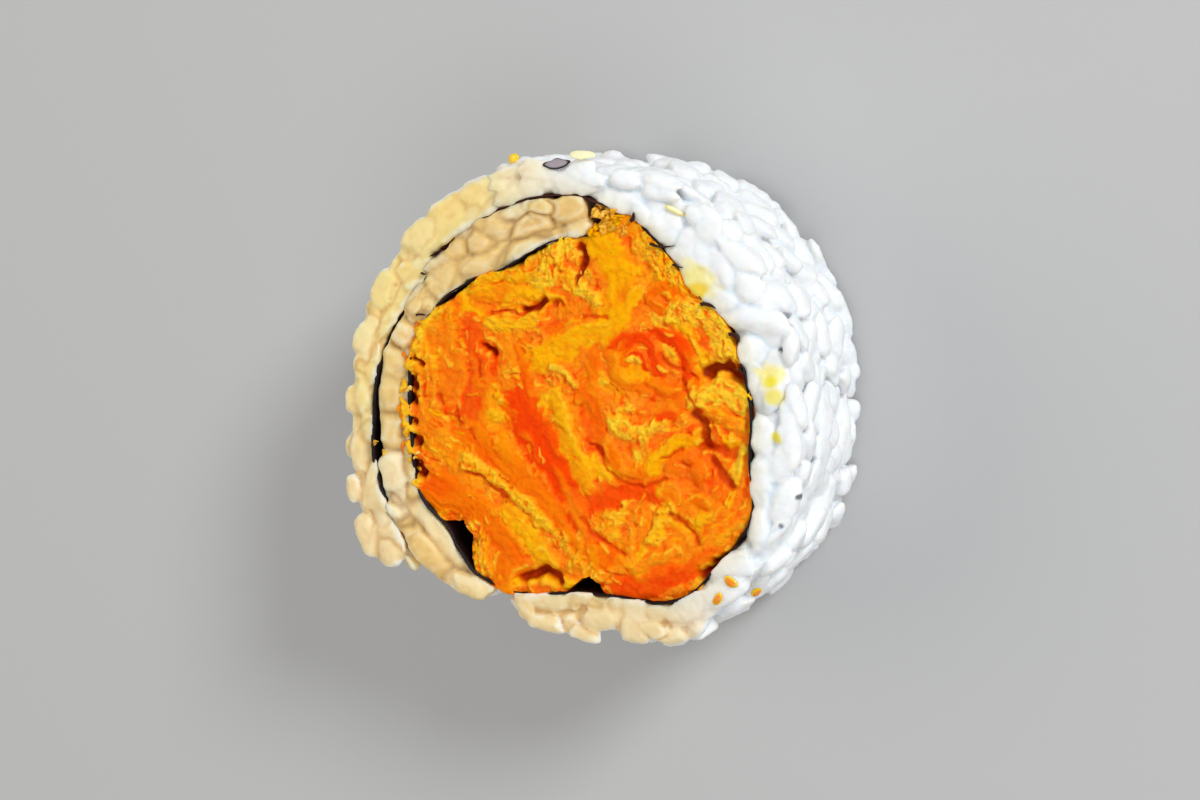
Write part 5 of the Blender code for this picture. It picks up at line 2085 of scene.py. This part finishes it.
SEED = (Rgb.SEED_GREY, Rgb.SEED_EDGE)
ROE = (Rgb.ROE_ORANGE, Rgb.ROE_YELLOW)
ROE_PALE = (Rgb.ROE_YELLOW, Rgb.ROE_YELLOW)
BIT = (Rgb.STAIN_PALE, Rgb.STAIN_PALE)
BIT_WARM = (Rgb.STAIN_PALE, Rgb.CRUMB_PALE)
TOPPINGS = tuple(Topping(*row) for row in (
    ("sesame_seed", (-1.5, 24.7, 22.95), (0.2, 0.4, 0.9), 14.0, (3.1, 1.2, 0.55), *SEED, 0.45),
    ("roe_speck_1", (-6.7, 25.25, 22.0), (0.0, 0.6, 0.8), 80.0, (1.2, 1.0, 1.0), *ROE_PALE),
    ("roe_speck_2", (17.5, -17.2, 22.85), (0.0, 0.0, 1.0), -30.0, (1.7, 1.0, 0.6), *ROE),
    ("roe_speck_3", (16.1, -19.0, 22.8), (0.0, -0.2, 1.0), 60.0, (1.5, 0.9, 0.6), *ROE),
    ("roe_speck_4", (20.4, -18.6, 22.0), (0.6, -0.5, 0.6), 10.0, (1.2, 0.9, 0.7), *ROE),
    ("yellow_bit_1", (0.9, 25.5, 21.9), (0.1, 0.7, 0.7), 8.0, (2.8, 1.2, 0.5), *BIT),
    ("yellow_bit_2", (11.3, 20.2, 22.75), (0.3, 0.5, 0.8), -22.0, (2.3, 0.6, 0.5), *BIT_WARM),
))


@dataclass
class Toppings:
    """The seed and the specks, each its own piece on the outer rice."""

    sight: float = 0.32
    sunk: float = 0.1
    pressed: float = 0.35

    def settled(self, topping: Topping, rice: np.ndarray) -> np.ndarray:
        """Where the topping touches the rice, on the line from its middle to the camera.

        Args:
            topping: which one.
            rice: the points of the rice.

        Returns:
            Its new middle, or the rice point nearest to the old one if the line misses the rice.
        """
        middle = np.array(topping.middle)
        back = np.array(Studio().back())
        off = rice - middle
        forward = off @ back
        aside = np.linalg.norm(off - forward[:, None] * back, axis=1)
        seen = aside < self.sight * topping.size[0]
        if not seen.any():
            nearest = rice[np.argmin((off**2).sum(axis=1))]
            apart = np.linalg.norm(middle - nearest)
            return nearest + (middle - nearest) * min(1.0, self.pressed * topping.size[2] / apart)
        return middle + back * (forward[seen].max() - self.sunk * topping.size[2])

    def build(self, rice: np.ndarray, husk: bpy.types.Material, skin: bpy.types.Material) -> None:
        """Makes each as a flattened ball that narrows towards both ends by its taper.

        Args:
            rice: the points of the rice that they lie on.
            husk: the seed's material.
            skin: the specks' material.
        """
        ball, faces = unit_ball(4)
        for topping in TOPPINGS:
            face = Vector(topping.face).normalized()
            turn = math.radians(topping.turn)
            along = Vector((math.cos(turn), math.sin(turn), 0.0))
            along = (along - face * along.dot(face)).normalized()
            across = face.cross(along)
            half = np.array(topping.size) / 2
            pole = ball[:, 0]
            girth = 1 - topping.taper * np.abs(pole) ** 1.5
            local = np.stack([pole * half[0], ball[:, 1] * half[1] * girth, ball[:, 2] * half[2]], axis=1)
            local[:, 2] *= 1 + 0.15 * noise(local, 0.8, 51)
            local[:, :2] *= 1 + 0.2 * noise(local + np.array(topping.middle), 0.7, 52)[:, None]
            points = local @ np.array([along, across, face]) + self.settled(topping, rice)
            made = add_mesh(topping.name, points, [faces])
            rim = smoothstep(0.75, 0.5, ball[:, 2])
            tone = blend(topping.colour.linear(), topping.rim_colour.linear(), rim)
            paint(made, tone)
            dress(made, husk if topping.name == "sesame_seed" else skin)


@dataclass(frozen=True)
class Studio:
    """Camera at the photograph's angle, soft lights, and a pale floor."""

    azimuth: float = 22.0
    elevation: float = 8.0
    distance: float = 240.0
    lens: float = 70.05
    shift: tuple[float, float] = (0.025, 0.0042)
    light_aim: float = 0.015
    floor_radius: float = 1.5
    floor_drop: float = 0.0002

    def back(self) -> Vector:
        """The way from the slice to the camera, by its angles from the cut face's normal."""
        a, e = math.radians(self.azimuth), math.radians(self.elevation)
        return Vector((math.sin(a) * math.cos(e), math.sin(e), math.cos(a) * math.cos(e)))

    def camera(self) -> None:
        """Places the camera, with +Y up in the picture."""
        back = self.back()
        right = Vector((back.z, 0, -back.x)).normalized()
        up = back.cross(right)
        data = bpy.data.cameras.new("camera")
        data.lens = self.lens
        data.shift_x, data.shift_y = self.shift
        data.clip_start, data.clip_end = 0.01, 10.0
        made = bpy.data.objects.new("camera", data)
        bpy.context.scene.collection.objects.link(made)
        aim = Vector(SHIFT.to_frame(np.array([0.0, 0.0, LENGTH])))
        spot = aim + back * self.distance * MM
        rotation = Matrix((right, up, back)).transposed().to_4x4()
        made.matrix_world = Matrix.Translation(spot) @ rotation
        bpy.context.scene.camera = made

    def light(self, name: str, spot: Sequence[float], size: float, power: float, colour: Colour) -> None:
        """An area light at spot, in metres, that looks at the slice.

        Args:
            name: its name.
            spot: where it stands.
            size: the disc's width in metres.
            power: in watts.
            colour: of its light.
        """
        data = bpy.data.lights.new(name, "AREA")
        data.shape = "DISK"
        data.size = size
        data.energy = power
        data.color = colour
        made = bpy.data.objects.new(name, data)
        bpy.context.scene.collection.objects.link(made)
        aim = Vector((0, 0, self.light_aim))
        made.location = spot
        made.rotation_mode = "QUATERNION"
        made.rotation_quaternion = (aim - Vector(spot)).to_track_quat("-Z", "Y")

    def floor(self) -> None:
        """A wide pale disc just under the foot."""
        mesh = bpy.data.meshes.new("floor")
        work = bmesh.new()
        bmesh.ops.create_circle(work, cap_ends=True, segments=64, radius=self.floor_radius)
        work.to_mesh(mesh)
        work.free()
        made = bpy.data.objects.new("floor", mesh)
        bpy.context.scene.collection.objects.link(made)
        made.location.z = -self.floor_drop
        look = bpy.data.materials.new("floor_plain")
        look.use_nodes = True
        shader = look.node_tree.nodes["Principled BSDF"]
        shader.inputs["Base Color"].default_value = (0.52, 0.52, 0.52, 1.0)
        shader.inputs["Roughness"].default_value = 0.8
        mesh.materials.append(look)

    def set_up(self) -> None:
        """Makes all of it, with an even pale sky."""
        self.camera()
        self.floor()
        self.light("key", (0.48, 0.40, 0.42), 0.22, 3.4, (0.96, 0.98, 1.0))
        self.light("fill", (-0.5, 0.1, 0.45), 0.5, 0.9, (1.0, 0.95, 0.86))
        self.light("front", (0.2, -0.3, 0.6), 0.5, 0.9, (1.0, 1.0, 1.0))
        world = bpy.data.worlds.new("sky")
        world.use_nodes = True
        world.node_tree.nodes["Background"].inputs["Color"].default_value = (1.0, 1.0, 1.0, 1.0)
        world.node_tree.nodes["Background"].inputs["Strength"].default_value = 0.40
        bpy.context.scene.world = world
        bpy.context.scene.view_settings.view_transform = "Standard"


def main() -> None:
    """Builds every piece in order and reports it."""
    logging.basicConfig(level=logging.INFO, format="%(name)s %(message)s")
    relief = MoistRelief()
    outer = OuterRice(
        name="rice_round",
        node="rice_outer",
        depth_start=255.0,
        depth=(
            3.0, 3.9, 4.2, 3.8, 3.7, 3.9, 4.6, 4.5, 5.0, 5.2, 6.5, 5.3,
            4.0, 2.9, 4.2, 4.1, 3.9, 4.5, 3.3, 3.3, 3.0, 3.8, 3.4,
        ),
        first=252.5,
        last=583.0,
        arcs=3,
        seed=11,
        placed=OUTER_GRAINS,
        bridge=(468.0, 528.0, 0.55),
    )
    inner = InnerRice(
        name="rice_tucked",
        node="rice_inner",
        depth_start=75.0,
        depth=(4.2, 4.6, 5.4, 6.0, 4.6, 3.0, 3.3, 3.9, 4.0, 4.2, 5.3, 3.2, 2.5),
        first=85.5,
        last=246.0,
        arcs=1,
        seed=17,
        placed=INNER_GRAINS,
        apart=3.4,
        apart_proud=9.0,
        proud_upper=(0.1, 0.4),
        bridge=(126.0, 169.0, 0.6),
        shoulder=(0.2, 0.9),
        cut_step=0.3,
        rest_drop=0.35,
        core_inset=0.3,
        core_below_cut=0.6,
        apart_cut=2.3,
        seam_depth=(0.02, 0.32),
    )
    rice = RICE_FINISH.make(relief)
    for strip in (outer, inner):
        strip.build()
        strip.dress(rice)
    sheet = Nori()
    sheet.build()
    sheet.dress(NORI_FINISH.make(relief))
    filling = Filling()
    filling.build()
    filling.dress(FISH_FINISH.make(relief))
    coat = np.concatenate([mesh_points(made)[0] for made in outer.pieces])
    Toppings().build(coat, SEED_FINISH.make(relief), ROE_FINISH.make(relief))
    Studio().set_up()
    bpy.context.view_layer.update()


if __name__ == "__main__":
    main()
